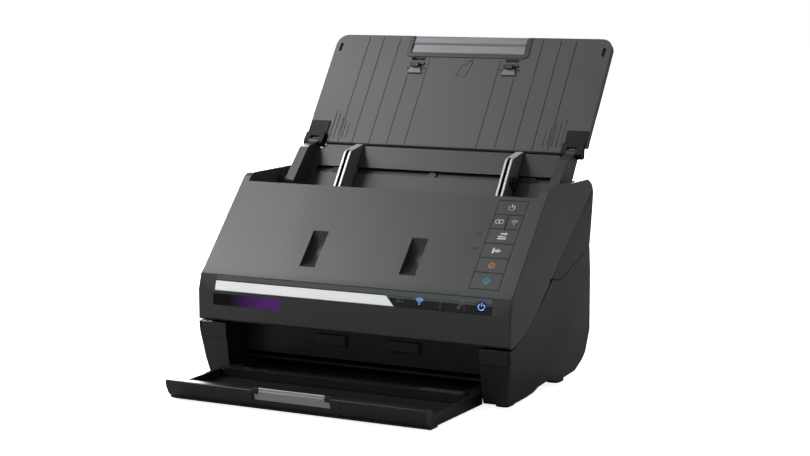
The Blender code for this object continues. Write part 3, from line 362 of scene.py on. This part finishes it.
def vary_roughness(material, low, high, factor):
    spread = add_node(material, "ShaderNodeMapRange", From_Min=TEXTURE_RANGE[0], From_Max=TEXTURE_RANGE[1],
                      To_Min=low, To_Max=high)
    link(material, factor, spread.inputs["Value"])
    link(material, spread.outputs["Result"], shader_of(material).inputs["Roughness"])


def grain(material, factor, depth, strength=0.4):
    bump = add_node(material, "ShaderNodeBump", Strength=strength, Distance=depth * MM)
    link(material, factor, bump.inputs["Height"])
    link(material, bump.outputs["Normal"], shader_of(material).inputs["Normal"])


def moulded_plastic(name, colour, roughness):
    """Injection-moulded plastic with a spark-eroded grain and slow changes in tone and gloss."""
    grain_size = 0.35 * MM
    made = new_material(name, colour, roughness)
    slow = noise(made, 14, 4)
    vary_colour(made, colour, 0.05, slow)
    vary_roughness(made, roughness - 0.04, roughness + 0.05, slow)
    grain(made, noise(made, 1 / grain_size, 2), 0.02)
    return made


def brushed_paint(name, colour, roughness, stretch):
    """Metallic paint with a faint brushed direction."""
    made = new_material(name, colour, roughness, metallic=0.4)
    streaks = noise(made, 900, 4, stretch)
    vary_colour(made, colour, 0.10, streaks)
    vary_roughness(made, roughness - 0.05, roughness + 0.08, streaks)
    grain(made, streaks, 0.01, 0.25)
    return made


def printed_ink(name, colour, roughness):
    made = new_material(name, colour, roughness)
    slow = noise(made, 25, 3)
    vary_colour(made, colour, 0.04, slow)
    vary_roughness(made, roughness * 0.8, roughness * 1.25, slow)
    return made


def rubber(name, colour):
    made = new_material(name, colour, 0.75)
    vary_colour(made, colour, 0.15, noise(made, 60, 4))
    grain(made, noise(made, 2600, 3), 0.03, 0.5)
    return made


def turned_steel(name, colour):
    made = new_material(name, colour, 0.3, metallic=1.0)
    rings = noise(made, 700, 3, (1, 0.05, 0.05))
    vary_colour(made, colour, 0.08, rings)
    vary_roughness(made, 0.24, 0.38, rings)
    return made


def circuit_board(name, colour):
    made = new_material(name, colour, 0.35, coat=0.3)
    tracks = add_node(made, "ShaderNodeTexVoronoi", Scale=260)
    link(made, object_point(made), tracks.inputs["Vector"])
    vary_colour(made, colour, 0.35, tracks.outputs["Distance"])
    return made


def clear_glass(name, colour):
    made = new_material(name, colour, 0.03)
    shader = shader_of(made)
    shader.inputs["Transmission Weight"].default_value = 0.6
    shader.inputs["IOR"].default_value = 1.5
    vary_roughness(made, 0.02, 0.05, noise(made, 120, 2))
    return made


def lit_plastic(name, colour, strength):
    made = printed_ink(name, colour, 0.3)
    shader = shader_of(made)
    shader.inputs["Emission Color"].default_value = (*colour, 1)
    shader.inputs["Emission Strength"].default_value = strength
    return made


def window_with_painted_reflection(name, face, split, dark, pale):
    """Smoked window with a painted reflection: a pale strip above, painted as the reflection across the window,
    near black below, with a crisp border between them.
    """
    made = new_material(name, dark, 0.12, coat=0.5)
    up_face = add_node(made, "ShaderNodeVectorMath")
    up_face.operation = "DOT_PRODUCT"
    up_face.inputs[1].default_value = face.up
    link(made, object_point(made), up_face.inputs[0])
    border = face.at(0, split).dot(face.up)
    blur = 0.25 * MM
    step = add_node(made, "ShaderNodeMapRange", From_Min=border - blur, From_Max=border + blur)
    link(made, up_face.outputs["Value"], step.inputs["Value"])
    # Painted reflection: the colour turns from the dark window to the pale reflection at the border.
    colour_ramp(made, dark, pale, step.outputs["Result"])
    vary_roughness(made, 0.10, 0.16, noise(made, 40, 3))
    return made


def faded_label(name, left, right, start, end):
    """A printed label that fades from one colour to another along X."""
    made = new_material(name, left, 0.4)
    shader_of(made).inputs["Specular IOR Level"].default_value = 0.25
    axes = add_node(made, "ShaderNodeSeparateXYZ")
    link(made, object_point(made), axes.inputs["Vector"])
    spread = add_node(made, "ShaderNodeMapRange", From_Min=start * MM, From_Max=end * MM)
    link(made, axes.outputs["X"], spread.inputs["Value"])
    colour_ramp(made, left, right, spread.outputs["Result"])
    return made


CHARCOAL = moulded_plastic("charcoal", (0.040, 0.0415, 0.0425), 0.38)
BLACK = moulded_plastic("black", (0.0125, 0.0128, 0.013), 0.42)
TRAY_BLACK = moulded_plastic("tray_black", (0.009, 0.009, 0.0095), 0.34)
LID_GREY = moulded_plastic("lid_grey", (0.062, 0.064, 0.066), 0.42)
RIM_GREY = moulded_plastic("rim_grey", (0.028, 0.029, 0.030), 0.40)
# Painted shade: the walls of the lid's carved grooves, near black instead of the lid's own grey.
GROOVE_PAINTED_SHADE = moulded_plastic("groove_painted_shade", (0.012, 0.012, 0.013), 0.55)
TAB_GREY = moulded_plastic("tab_grey", (0.20, 0.205, 0.21), 0.38)
GUIDE_GREY = moulded_plastic("guide_grey", (0.13, 0.135, 0.138), 0.36)
CHUTE_BLACK = moulded_plastic("chute_black", (0.030, 0.031, 0.032), 0.38)
SILVER = brushed_paint("silver", (0.22, 0.225, 0.235), 0.36, (0.02, 1, 1))
DARK_SILVER = brushed_paint("dark_silver", (0.25, 0.255, 0.265), 0.38, (0.02, 1, 1))
FLAP_SILVER = brushed_paint("flap_silver", (0.36, 0.37, 0.385), 0.36, (0.02, 1, 1))
HINGE_BLACK = moulded_plastic("hinge_black", (0.006, 0.006, 0.0065), 0.5)
shader_of(HINGE_BLACK).inputs["Specular IOR Level"].default_value = 0.2
BRIGHT_EDGE = brushed_paint("bright_edge", (0.66, 0.67, 0.69), 0.30, (1, 1, 0.05))
# The status band's near-white colour is its own; its emission is a painted glow that makes it brighter, and it is
# no lamp.
BAND_WITH_PAINTED_GLOW = lit_plastic("bright_band", (0.93, 0.94, 0.95), 0.2)
RUBBER = rubber("black_rubber", (0.02, 0.02, 0.02))
ROLLER = rubber("roller_rubber", (0.05, 0.05, 0.055))
STEEL = turned_steel("steel", (0.55, 0.56, 0.58))
BOARD = circuit_board("circuit_board", (0.02, 0.10, 0.05))
GLASS = clear_glass("glass", (0.55, 0.65, 0.68))
# Near black: dark seams and lines, and also painted shade in gaps, holes, slots and the walls of carved recesses.
SEAM_AND_PAINTED_SHADE = moulded_plastic("seam_and_painted_shade", (0.003, 0.003, 0.003), 0.6)
WHITE_INK = printed_ink("white_ink", (0.82, 0.82, 0.82), 0.4)
PALE_INK = printed_ink("pale_ink", (0.42, 0.43, 0.43), 0.4)
GREY_INK = printed_ink("grey_ink", (0.24, 0.25, 0.25), 0.35)
ORANGE_INK = printed_ink("orange_ink", (0.72, 0.27, 0.07), 0.4)
TEAL_INK = printed_ink("teal_ink", (0.03, 0.34, 0.50), 0.4)
BLUE_LIGHT = lit_plastic("blue_light", (0.22, 0.50, 0.95), 0.9)
PALE_LIGHT = lit_plastic("pale_light", (0.66, 0.82, 1.0), 1.1)
BLUE_GLOW = lit_plastic("blue_glow", (0.01, 0.06, 0.30), 0.5)
LABEL = faded_label("label", (0.002, 0.001, 0.002), (0.20, 0.04, 0.36), -116, -80)

FINISHES = {
    "charcoal_plastic": CHARCOAL, "black_plastic": BLACK, "lid_grey": LID_GREY, "silver_plastic": SILVER,
    "guide_grey": GUIDE_GREY, "bright_band": BAND_WITH_PAINTED_GLOW, "clear_glass": GLASS, "rubber": ROLLER,
    "steel": STEEL, "circuit_board": BOARD,
}

# Faces of the frame

SLOPE = Face("button_power", "high")
STRIP = Face("status_band")
LID = Face("tray_lid", "high")
CHUTE = Face("tray_chute", "high")
SECTION = Flat((0, 0, 0), (0, 1, 0), (0, 0, 1))  # looks along X, so outlines are (y, z)
HOUSING_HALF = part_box("scanner_cover")[1].x


# Camera, light and floor

LIGHT_TARGET = Vector((0, 0, 0.12))
SURROUND_WHITE = (1.0, 1.0, 1.0)


def camera():
    """The camera at the photograph's viewing angle."""
    place = (0.7663, -1.4079, 0.3567)
    yaw, pitch, roll = (math.radians(angle) for angle in (28.043, 8.079, -0.206))
    data = bpy.data.cameras.new("camera")
    data.lens = 84.3
    data.sensor_width = 36.0
    data.shift_x = -0.00174
    data.shift_y = 0.00057
    data.clip_start = 0.05
    data.clip_end = 20.0
    made = bpy.data.objects.new("camera", data)
    bpy.context.scene.collection.objects.link(made)
    turn = Matrix.Rotation(yaw, 4, "Z") @ Matrix.Rotation(math.pi / 2 - pitch, 4, "X")
    made.matrix_world = Matrix.Translation(place) @ turn @ Matrix.Rotation(roll, 4, "Z")
    bpy.context.scene.camera = made


def area_light(name, place, size, power):
    """A rectangular light that points at the middle of the scanner."""
    data = bpy.data.lights.new(name, "AREA")
    data.shape = "RECTANGLE"
    data.size, data.size_y = size
    data.energy = power
    made = bpy.data.objects.new(name, data)
    bpy.context.scene.collection.objects.link(made)
    made.location = place
    made.rotation_euler = (LIGHT_TARGET - Vector(place)).to_track_quat("-Z", "Y").to_euler()


def split_for_camera(tree, seen, unseen):
    """One colour of the surround for camera rays and another for the light that the object gets."""
    rays = tree.nodes.new("ShaderNodeLightPath")
    mix = tree.nodes.new("ShaderNodeMix")
    mix.data_type = "RGBA"
    mix.inputs["A"].default_value = (*unseen, 1)
    mix.inputs["B"].default_value = (*seen, 1)
    tree.links.new(rays.outputs["Is Camera Ray"], mix.inputs["Factor"])
    return mix.outputs["Result"]


def studio():
    world = bpy.data.worlds.new("studio")
    world.use_nodes = True
    background = world.node_tree.nodes["Background"]
    colour = split_for_camera(world.node_tree, SURROUND_WHITE, (0.25, 0.25, 0.255))
    world.node_tree.links.new(colour, background.inputs["Color"])
    bpy.context.scene.world = world
    bpy.context.scene.view_settings.view_transform = "Standard"
    area_light("softbox", (-1.66, -0.5, 1.45), (1.25, 1.3), 41)
    area_light("top", (0.1, 0.6, 2.2), (1.2, 1.2), 4)
    area_light("front", (0.4, -2.2, 0.9), (1.2, 0.8), 2.5)
    area_light("back", (-1.3, 2.2, 0.9), (1.6, 1.2), 55)
    area_light("rim", (1.7, 0.7, 0.9), (0.4, 1.2), 5)


def floor():
    face = Flat((0, 0, 0), (1, 0, 0), (0, 1, 0))
    side, depth = 12000.0, 20.0
    finish = new_material("floor", (0.9, 0.9, 0.9), 0.8)
    shader = shader_of(finish)
    colour = split_for_camera(finish.node_tree, SURROUND_WHITE, (0.35, 0.35, 0.35))
    link(finish, colour, shader.inputs["Base Color"])
    lift = split_for_camera(finish.node_tree, (0.86, 0.86, 0.86), (0.0, 0.0, 0.0))
    link(finish, lift, shader.inputs["Emission Color"])
    shader.inputs["Emission Strength"].default_value = 1.0
    made = prism_object("floor", face, [(centred((0, 0), side, side), -depth, 0.0)], finish)


# Shells

# Each test takes the middle of an edge and the normals a and b of its two faces.

SIDE_BAND = 8 * MM  # how far the sides' rounded edges may lie inside the housing's width


def any_edge(point, a, b):
    return True


def side_edge(point, a, b):
    """Whether an edge lies where an outer side of the housing meets its outline."""
    sideways = max(abs(a.x), abs(b.x)) > 0.9 and min(abs(a.x), abs(b.x)) < 0.3
    return sideways and abs(point.x) > HOUSING_HALF - SIDE_BAND


def cover_shell():
    def outline_edge(point, a, b):
        return side_edge(point, a, b) and min(a.z, b.z) > -0.25 and abs(point.x) > HOUSING_HALF - 0.1 * MM

    def step(side):
        """The small overlap in the joint line on a side of the cover."""
        face = Flat((side * HOUSING_HALF, 0, 0), (0, side, 0), (0, 0, 1))
        # The step is carved and its walls are near black: painted shade inside it.
        return face, [(stroke((side * 3.5, 95.6), (side * 12.5, 91.0), 2.2), -0.8, 1.0)], SEAM_AND_PAINTED_SHADE

    shell("scanner_cover", [(outline_edge, 6.0)], CHARCOAL, fine=0.45, carvings=[step(-1), step(1)])


def base_shell():
    def upright_edge(point, a, b):
        level = min(a.z, b.z) > -0.35 and max(a.z, b.z) < 0.3
        return side_edge(point, a, b) and level

    shell("base_housing", [(upright_edge, 4.0)], BLACK, fine=0.4)


def rear_shell():
    def rear_edge(point, a, b):
        return side_edge(point, a, b) and max(a.y, b.y) > 0.6

    low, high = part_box("rear_cover")
    back = Flat((0, high.y, low.z), (-1, 0, 0), (0, 0, 1))
    width, height = 26, 1.8
    vents = [(rounded(u, u + width, v, v + height, height / 2), -5.0, 2.0) for u in (-75, -41, -7, 27, 61)
             for v in (38.0, 42.5, 47.0, 51.5)]
    # The vents' carved walls are near black: painted shade inside the slots.
    shell("rear_cover", [(rear_edge, 5.0)], BLACK, fine=0.4, carvings=[(back, vents, SEAM_AND_PAINTED_SHADE)])


def lid_shell():
    """The lid with its long grooves, which start at the hinge, and a slot near each upper corner."""
    half = 0.3
    groove_tops = {36.0: -24.5, 54.0: -43.0, 72.5: -2.5, 90.0: -2.5, 105.0: -2.5}
    grooves = [(rectangle(side * u - half, side * u + half, -117.0, top), -0.45, 1.0)
               for u, top in groove_tops.items() for side in (-1, 1)]
    slots = [(rounded(*across(side, 131.6, 134.8), -18.5, -9.5, 1.5), -1.2, 1.0) for side in (-1, 1)]
    # The grooves' carved walls take painted shade, and the slots' walls take near-black painted shade too.
    carvings = [(LID, grooves, GROOVE_PAINTED_SHADE), (LID, slots, SEAM_AND_PAINTED_SHADE)]
    shell("tray_lid", [(any_edge, 0.5)], LID_GREY, fine=0, carvings=carvings)


def guide_shell(side, node):
    """An edge guide with two bright front edges and a groove between them, whose carved walls are near black:
    painted shade in the groove.
    """
    low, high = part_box(node)
    outer = max(abs(low.x), abs(high.x)) / MM
    groove = rectangle(*across(side, outer - 4.8, outer - 2.2), -62, -12)
    made = shell(node, [], GUIDE_GREY, fine=0.3, carvings=[(CHUTE, [(groove, 14.5, 21.0)], SEAM_AND_PAINTED_SHADE)])
    made.data.materials.append(BRIGHT_EDGE)
    base_height = 3 * MM
    for polygon in made.data.polygons:
        faces_front = polygon.normal.dot(CHUTE.out) > 0.5 and polygon.material_index == 0
        if faces_front and (polygon.center - CHUTE.origin).dot(CHUTE.out) > base_height:
            polygon.material_index = len(made.data.materials) - 1


def extension_shell():
    """The output extension with four lines along each side and one under its lip."""
    low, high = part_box("output_extension")

    def lip_top(point, a, b):
        return point.z > high.z - 0.5 * MM and max(abs(a.x), abs(b.x)) < 0.5

    # All these lines are carved grooves with near-black walls: painted shade in the grooves.
    carvings = []
    for side in (-1, 1):
        outside = Flat((side * high.x, 0, 0), (0, side, 0), (0, 0, 1))
        ends = sorted((side * (low.y / MM + 11.0), side * (high.y / MM - 4.0)))
        lines = [(rectangle(*ends, z, z + 0.7), -0.6, 1.0) for z in (4.2, 6.4, 8.6, 10.8)]
        carvings.append((outside, lines, SEAM_AND_PAINTED_SHADE))
    front = low.y / MM
    line = stroke((front + 5.0, 2.9), (front + 8.6, 4.7), 0.8)
    carvings.append((SECTION, [(line, low.x / MM - 1, high.x / MM + 1)], SEAM_AND_PAINTED_SHADE))
    shell("output_extension", [(lip_top, 1.1), (any_edge, 0.3)], TRAY_BLACK, fine=0, carvings=carvings)


def stopper_shell():
    """The flap, stepped down at its upper corners."""
    low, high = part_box("paper_stopper")
    front = Flat((0, low.y, low.z), (1, 0, 0), (0, 0, 1))
    reach = high.x / MM
    steps = [(rectangle(*across(side, reach - 4.5, reach + 2), 5.2, 12.0), -20.0, 3.0) for side in (-1, 1)]
    shell("paper_stopper", [], FLAP_SILVER, fine=0.4, carvings=[(front, steps, FLAP_SILVER)])


# Cover detail

def icon(name, button, marks, finish):
    """Printed marks, given around the middle of the button's face."""
    u, v = SLOPE.find(middle(button))
    parts = [(moved(outline, u, v), 0.0, PROUD) for outline in marks]
    prisms(name, SLOPE, parts, BODY_OF[button], finish)


def outline_lines(u0, u1, v0, v1, width):
    """Four bars just inside a rectangle."""
    return [rectangle(u0, u1, v0, v0 + width), rectangle(u0, u1, v1 - width, v1),
            rectangle(u0, u0 + width, v0, v1), rectangle(u1 - width, u1, v0, v1)]


def power_mark(size):
    """A ring that is open at the top, and a bar in the opening."""
    width = size * 0.32
    return [band((0, 0), size, width, 125, 415), stroke((0, size * 0.2), (0, size * 1.35), width)]


def wifi_mark(size):
    """A dot with three arcs above it."""
    dot = (0, -size * 0.8)
    arcs = [band(dot, size * reach, size * 0.28, 45, 135, 8) for reach in (0.75, 1.25, 1.75)]
    return arcs + [disc(dot, size * 0.25, 10)]


def link_mark(size):
    """Two rings side by side."""
    return [band((side * size * 0.62, 0), size * 0.72, size * 0.3, 0, 360) for side in (-1, 1)]


def sheet(width, height, lean, lift):
    """A leaning sheet of paper, seen edge on."""
    half, top = width / 2, lift + height
    return [(-half, lift), (half, lift), (half + lean, top), (-half + lean, top)]


def button_marks():
    icon("mark_power", "button_power", power_mark(2.6), WHITE_INK)
    icon("mark_link", "button_link", link_mark(2.6), WHITE_INK)
    icon("mark_wifi", "button_wifi", wifi_mark(2.5), PALE_INK)
    stack = [sheet(7.4, 1.5, 0.6, lift) for lift in (-2.9, -0.8)]
    arrow = [stroke((-2.0, 2.6), (2.0, 2.6), 1.0), [(1.8, 1.3), (4.6, 2.6), (1.8, 3.9)]]
    icon("mark_slow_feed", "button_slow_feed", stack + arrow, WHITE_INK)
    bar = rectangle(-4.0, -2.4, -2.6, 2.6)
    skip = [bar, rectangle(-1.8, 0.4, -0.9, 0.9), [(0.2, -2.3), (4.2, 0), (0.2, 2.3)]]
    icon("mark_skip", "button_skip", skip, WHITE_INK)
    stop = [band((0, 0), 2.5, 0.9, 0, 360), stroke((-1.1, -1.1), (1.1, 1.1), 0.9)]
    icon("mark_stop", "button_stop", stop, ORANGE_INK)
    diamond = joined_up([(0, 3.0), (3.4, 0), (0, -3.0), (-3.4, 0)], 0.9)
    icon("mark_start", "button_start", diamond + [[(-0.9, -1.1), (1.5, 0), (-0.9, 1.1)]], TEAL_INK)


def button_rims():
    """Painted shade: a near-black frame along each button's outline, standing for the shade in the gaps between
    the buttons.
    """
    for button in BUTTONS:
        low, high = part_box(button)
        v = SLOPE.find(middle(button))[1]
        half = Face(button).length / 2
        sides = outline_lines(low.x / MM, high.x / MM, v - half, v + half, 0.35)
        parts = [(line, -0.2, PROUD) for line in sides]
        prisms(f"rim_{button}", SLOPE, parts, BODY_OF[button], SEAM_AND_PAINTED_SHADE)


def indicator_slits():
    """Two rows of four pin-size windows beside the slow feed and skip buttons."""
    pitch = 1.6
    for button in ("button_slow_feed", "button_skip"):
        v = SLOPE.find(middle(button))[1] + 1.0
        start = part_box(button)[0].x / MM - 10.0
        squares = [(centred((start + pitch * i, v), 1.25, 2.0), -0.2, PROUD) for i in range(4)]
        prisms(f"slits_{button}", SLOPE, squares, "cover", SEAM_AND_PAINTED_SHADE)


def status_marks():
    """The symbols that show through the status window, two of them lit."""
    ready_x, height = 121.5, 6.2
    marks = {
        "link": (48.0, link_mark(2.3), GREY_INK), "wireless": (66.0, wifi_mark(2.7), BLUE_LIGHT),
        "alert": (85.0, [rectangle(-0.4, 0.4, -1.6, 3.2), disc((0, -3.0), 0.6, 10)], GREY_INK),
        "network": (104.0, network_mark(), GREY_INK), "ready": (ready_x, power_mark(2.7), PALE_LIGHT),
    }
    for name, (x, parts, finish) in marks.items():
        raised = [(moved(outline, x, height), 0.0, PROUD) for outline in parts]
        prisms(f"status_{name}", STRIP, raised, "cover", finish)
    glow = [(disc((ready_x, height), 4.6), 0.0, PROUD / 2)]
    prisms("status_glow", STRIP, glow, "cover", BLUE_GLOW)


def network_mark():
    """A box above two boxes, joined by a forked line."""
    boxes = [centred((u, v), 2.3, 2.0) for u, v in ((0, 2.7), (-2.5, -2.3), (2.5, -2.3))]
    return boxes + [rectangle(-0.3, 0.3, 0, 1.8), rectangle(-2.8, 2.8, -0.3, 0.3),
                    rectangle(-2.8, -2.2, -1.4, 0), rectangle(2.2, 2.8, -1.4, 0)]


def strip_outline():
    """Dark lines around the status strip, and along the upper edge of its bright band."""
    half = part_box("status_window")[1].x / MM
    top = STRIP.length
    lines = [rectangle(-half, half, top - 0.45, top), rectangle(-half, half, 0.0, 0.3),
             rectangle(-half, 34.0, 8.7, 9.2),
             rectangle(half - 0.4, half, 0, top), rectangle(-half, -half + 0.3, 0, top)]
    prisms("strip_outline", STRIP, [(line, 0.0, PROUD) for line in lines], "cover", SEAM_AND_PAINTED_SHADE)


def front_label():
    """A plain coloured label; it carries no text or pattern."""
    front = Flat((0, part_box("scanner_cover")[0].y, 0), (1, 0, 0), (0, 0, 1))
    label = rounded(-132.5, -65.5, 64.4, 74.4, 0.8)
    prisms("front_label", front, [(label, -0.2, PROUD)], "cover", LABEL)


# Lid detail

def notch_rim():
    """The darker rim around the notch that holds the handle."""
    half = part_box("tray_extension")[1].x / MM
    inner, low, high = half + 0.6, -18.6, -0.8
    right = arc((half + 0.8, low), 4.2, -90, 0, 6) + [(half + 5.0, high), (inner, high), (inner, low)]
    left = [(-u, v) for u, v in reversed(right)]
    prisms("notch_rim", LID, [(right + left, -0.2, 0.55)], "lid", RIM_GREY, 0.25)


def corner_ribs(side, name):
    """Five fine ribs above a hinge, each further out, higher and longer than the last."""
    ribs = [(centred((side * (98.5 + 4.2 * i), -103.0 + 1.6 * i), 0.5, 16.0 + 3.0 * i), -0.1, 0.35)
            for i in range(5)]
    prisms(f"corner_ribs_{name}", LID, ribs, "lid", LID_GREY, 0.1)


def paint_hinge_gap_shade(side, name):
    # Painted shade: a black plate that fills the see-through gap between the lid and the bracket, dark like the
    # shade there.
    hinge_gap_fill = rectangle(*across(side, 117.3, 119.2), -116.0, -108.2)
    prisms(f"paint_hinge_gap_shade_{name}", LID, [(hinge_gap_fill, -5.5, -0.6)], "lid", HINGE_BLACK)


def hinge_rod():
    """The rod on the lid's axis, between the brackets."""
    hinge = next(joint for joint in frame["joints"] if joint["name"] == "lid_folds")
    axis = Flat(hinge["pos_m"], LID.out, LID.up)
    prisms("hinge_rod", axis, [(disc((0, 0), 1.15), -117.0, 117.0)], "lid", HINGE_BLACK)


def page_mark():
    """The moulded outline of a page, a guide for loading."""
    page = [(-4.5, -42), (5.0, -42), (8.0, -29), (8.0, -24), (4.0, -27), (3.4, -30), (-1.2, -30)]
    lines = [(line, -0.1, 0.3) for line in joined_up(page, 0.6)]
    prisms("page_mark", LID, lines, "lid", LID_GREY)


def lid_hook(name):
    """The latch hook on the lid: slot, black hook and pale release tab."""
    u, v = LID.find(middle(f"lid_catch_{name}"))
    low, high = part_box(f"lid_catch_{name}")
    reach = (high - low).y / MM * 0.45
    hook = [(rectangle(u - 7.6, u + 7.6, v + 3.2, v + 5.8), 0.0, 0.9),
            (rectangle(u - 3.2, u + 3.2, v - 0.4, v + 4.4), 0.0, reach),
            (rectangle(u - 6.0, u + 1.0, v + 1.2, v + 3.4), 0.0, reach * 0.6)]
    made = prisms(f"catch_hook_{name}", LID, hook, "lid", BLACK, 0.2)
    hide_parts(f"lid_catch_{name}")
    tab = [(u - 7.4, v - 6.0), (u + 7.4, v - 6.0), (u + 4.4, v + 0.6), (u - 4.4, v + 0.6)]
    prisms(f"catch_tab_{name}", LID, [(tab, 0.0, 1.5)], "lid", TAB_GREY, 0.5)
    # The slot is a flat near-black mark: painted shade standing for its opening. The two dots beside the hook are
    # near black too.
    slot = [(rounded(u - 7.0, u + 7.0, v + 8.0, v + 11.2, 0.6), -0.3, PROUD)]
    dots = [(disc((u + x, v - 0.2), 0.9, 12), -0.3, 0.3) for x in (-8.6, 8.6)]
    prisms(f"catch_slot_painted_shade_and_dots_{name}", LID, slot + dots, "lid", SEAM_AND_PAINTED_SHADE)


def handle():
    """The lid's silver handle: a flat lower band with a bead on it, and a darker upper band."""
    side = Flat(LID.at(0, 0), LID.out, LID.up)
    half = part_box("tray_extension")[1].x / MM - 0.3
    flat = [(-0.5, -17.5), (-0.3, -17.3), (-0.3, -9.6)]
    bead = [(0.2, -9.0), (0.45, -8.2), (0.2, -7.4), (-0.5, -7.2)]
    lower = flat + bead
    upper = [(-0.5, -7.3), (0.1, -7.3), (-0.1, -2.0), (-0.4, -0.5), (-0.5, -0.5)]
    prisms("handle_band", side, [(lower, -half, half)], "extension", SILVER, 0.15)
    prisms("handle_top", side, [(upper, -half, half)], "extension", DARK_SILVER, 0.15)
    seams = [(rectangle(x - 0.25, x + 0.25, -17.0, -9.9), -0.4, -0.2) for x in (-44.5, 44.5)]
    prisms("handle_seams", LID, seams, "extension", DARK_SILVER)


# Chute, tray and base detail

def guide_clip():
    """The black pinch clip on the right guide's outer side."""
    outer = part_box("edge_guide_right")[1].x / MM
    side = Flat(CHUTE.at(0, 0), CHUTE.up, CHUTE.out)
    plate = arc((-38.0, 9.5), 4.2, 0, 180, 10) + [(-43.5, 1.5), (-32.5, 1.5)]
    parts = [(plate, outer, outer + 2.4), (disc((-38.0, 9.5), 1.6), outer + 2.4, outer + 3.6)]
    prisms("guide_clip", side, parts, "right_guide", BLACK, 0.2)


def chute_windows():
    """Dark windows in the chute floor, outside the guides' travel."""
    parts = [(rectangle(*across(side, 88.0, 101.0), -34.5, -29.0), -0.1, PROUD) for side in (-1, 1)]
    prisms("chute_windows", CHUTE, parts, "chute", SEAM_AND_PAINTED_SHADE)


def paint_hood_shadows():
    """Painted shadows: near-black strips at the lower and right edges of the exit panel's hoods, where the hoods
    cast shade.
    """
    face = Flat((0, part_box("exit_panel")[0].y, 0), (1, 0, 0), (0, 0, 1))
    half, low, high, top = 14.6, 31.2, 33.0, 40.6
    painted_shadow_strips = []
    for x in (-35.0, 35.0):
        painted_shadow_strips += [rectangle(x - half, x + half, low, high), rectangle(x + half - 1.4, x + half, high, top)]
    prisms("hood_painted_shadows", face, [(painted_shadow_strip, -1.0, 0.1) for painted_shadow_strip in painted_shadow_strips], "base", SEAM_AND_PAINTED_SHADE)


def stopper_detail():
    """The flap's raised crest and the dark stepped seats at its ends."""
    low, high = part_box("paper_stopper")
    reach = high.x / MM
    front, top = low.y / MM, high.z / MM
    crest = moved([(0.5, -0.4), (0.9, 2.0), (2.0, 2.2), (3.6, -0.4)], front, top)
    ends = (4.5 - reach, reach - 4.5)
    prisms("stopper_crest", SECTION, [(crest, *ends)], "stopper", FLAP_SILVER, 0.3)
    face = Flat((0, low.y, low.z), (1, 0, 0), (0, 0, 1))
    for side, name in SIDES:
        near = rectangle(*across(side, reach - 3.9, reach + 1.6), 5.4, 9.2)
        far = rectangle(*across(side, reach + 1.0, reach + 10.0), 0.6, 5.6)
        steps = [(near, -4.0, 0.0), (far, -4.0, 0.15)]
        prisms(f"stopper_seat_{name}", face, steps, "output_outer", SEAM_AND_PAINTED_SHADE, 0.2)


def slide_bar():
    """The grey guide plate with three square holes at the right of the inner tray; the holes are flat near-black
    squares, painted shade standing for their openings.
    """
    low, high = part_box("output_tray")
    face = Flat((0, low.y, high.z), (1, 0, 0), (0, 1, 0))
    edge = high.x / MM
    top = 0.5
    plate = [(rectangle(edge - 42.0, edge - 4.0, 0.8, 7.4), -0.3, top)]
    prisms("slide_plate", face, plate, "output_inner", RIM_GREY, 0.15)
    holes = [(centred((edge - inset, 4.0), 2.4, 3.0), 0.3, top + PROUD) for inset in (27.0, 13.0, 6.5)]
    prisms("slide_hole_painted_shade", face, holes, "output_inner", SEAM_AND_PAINTED_SHADE)


def lever_ridges():
    """Five finger ridges across the release lever, which lies along the cover's slope."""
    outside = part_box("cover_release_lever")[0].x
    side = Flat((outside, 0, 0), (0, -1, 0), (0, 0, 1))
    centre = middle("cover_release_lever") / MM
    along = Vector((-0.770, 0.639))
    ridge = Vector((0.639, 0.770))
    pitch, half = 3.2, 2.2
    parts = []
    for i in range(-2, 3):
        place = Vector((-centre.y, centre.z)) + along * pitch * i
        parts.append((stroke(place + ridge * half, place - ridge * half, 1.0), -0.3, 0.35))
    prisms("lever_ridges", side, parts, "release_lever", BLACK, 0.15)


def finish_nodes():
    """Gives every node its material and its edge width."""
    widths = {button: 0.4 for button in BUTTONS}
    widths |= {"column_cap_left": 0.7, "column_cap_right": 0.7, "output_tray": 0.35, "exit_panel": 0.3}
    for node, thing in NODES.items():
        thing.data.materials.clear()
        thing.data.materials.append(finish_of(node))
        tidy_node(node, widths.get(node, 0.2))


def finish_of(node):
    if node.startswith("output_"):
        return TRAY_BLACK
    if node == "tray_chute":
        return CHUTE_BLACK
    if node.startswith("lid_bracket"):
        return HINGE_BLACK
    if node.startswith("foot") or node == "drive_belt":
        return RUBBER
    if node == "status_window":
        # The window's pale upper strip is a painted reflection; the near black below is the window's own colour.
        return window_with_painted_reflection("smoked_window_with_painted_reflection", STRIP, 7.2, (0.004, 0.004, 0.005), (0.105, 0.120, 0.122))
    return FINISHES[slot_of(node)]


camera()
studio()
floor()
cover_shell()
base_shell()
rear_shell()
lid_shell()
for side, name in SIDES:
    guide_shell(side, f"edge_guide_{name}")
extension_shell()
stopper_shell()
finish_nodes()
button_marks()
button_rims()
indicator_slits()
status_marks()
strip_outline()
front_label()
notch_rim()
for side, name in SIDES:
    lid_hook(name)
    paint_hinge_gap_shade(side, name)
    corner_ribs(side, name)
hinge_rod()
page_mark()
handle()
guide_clip()
chute_windows()
paint_hood_shadows()
stopper_detail()
slide_bar()
lever_ridges()
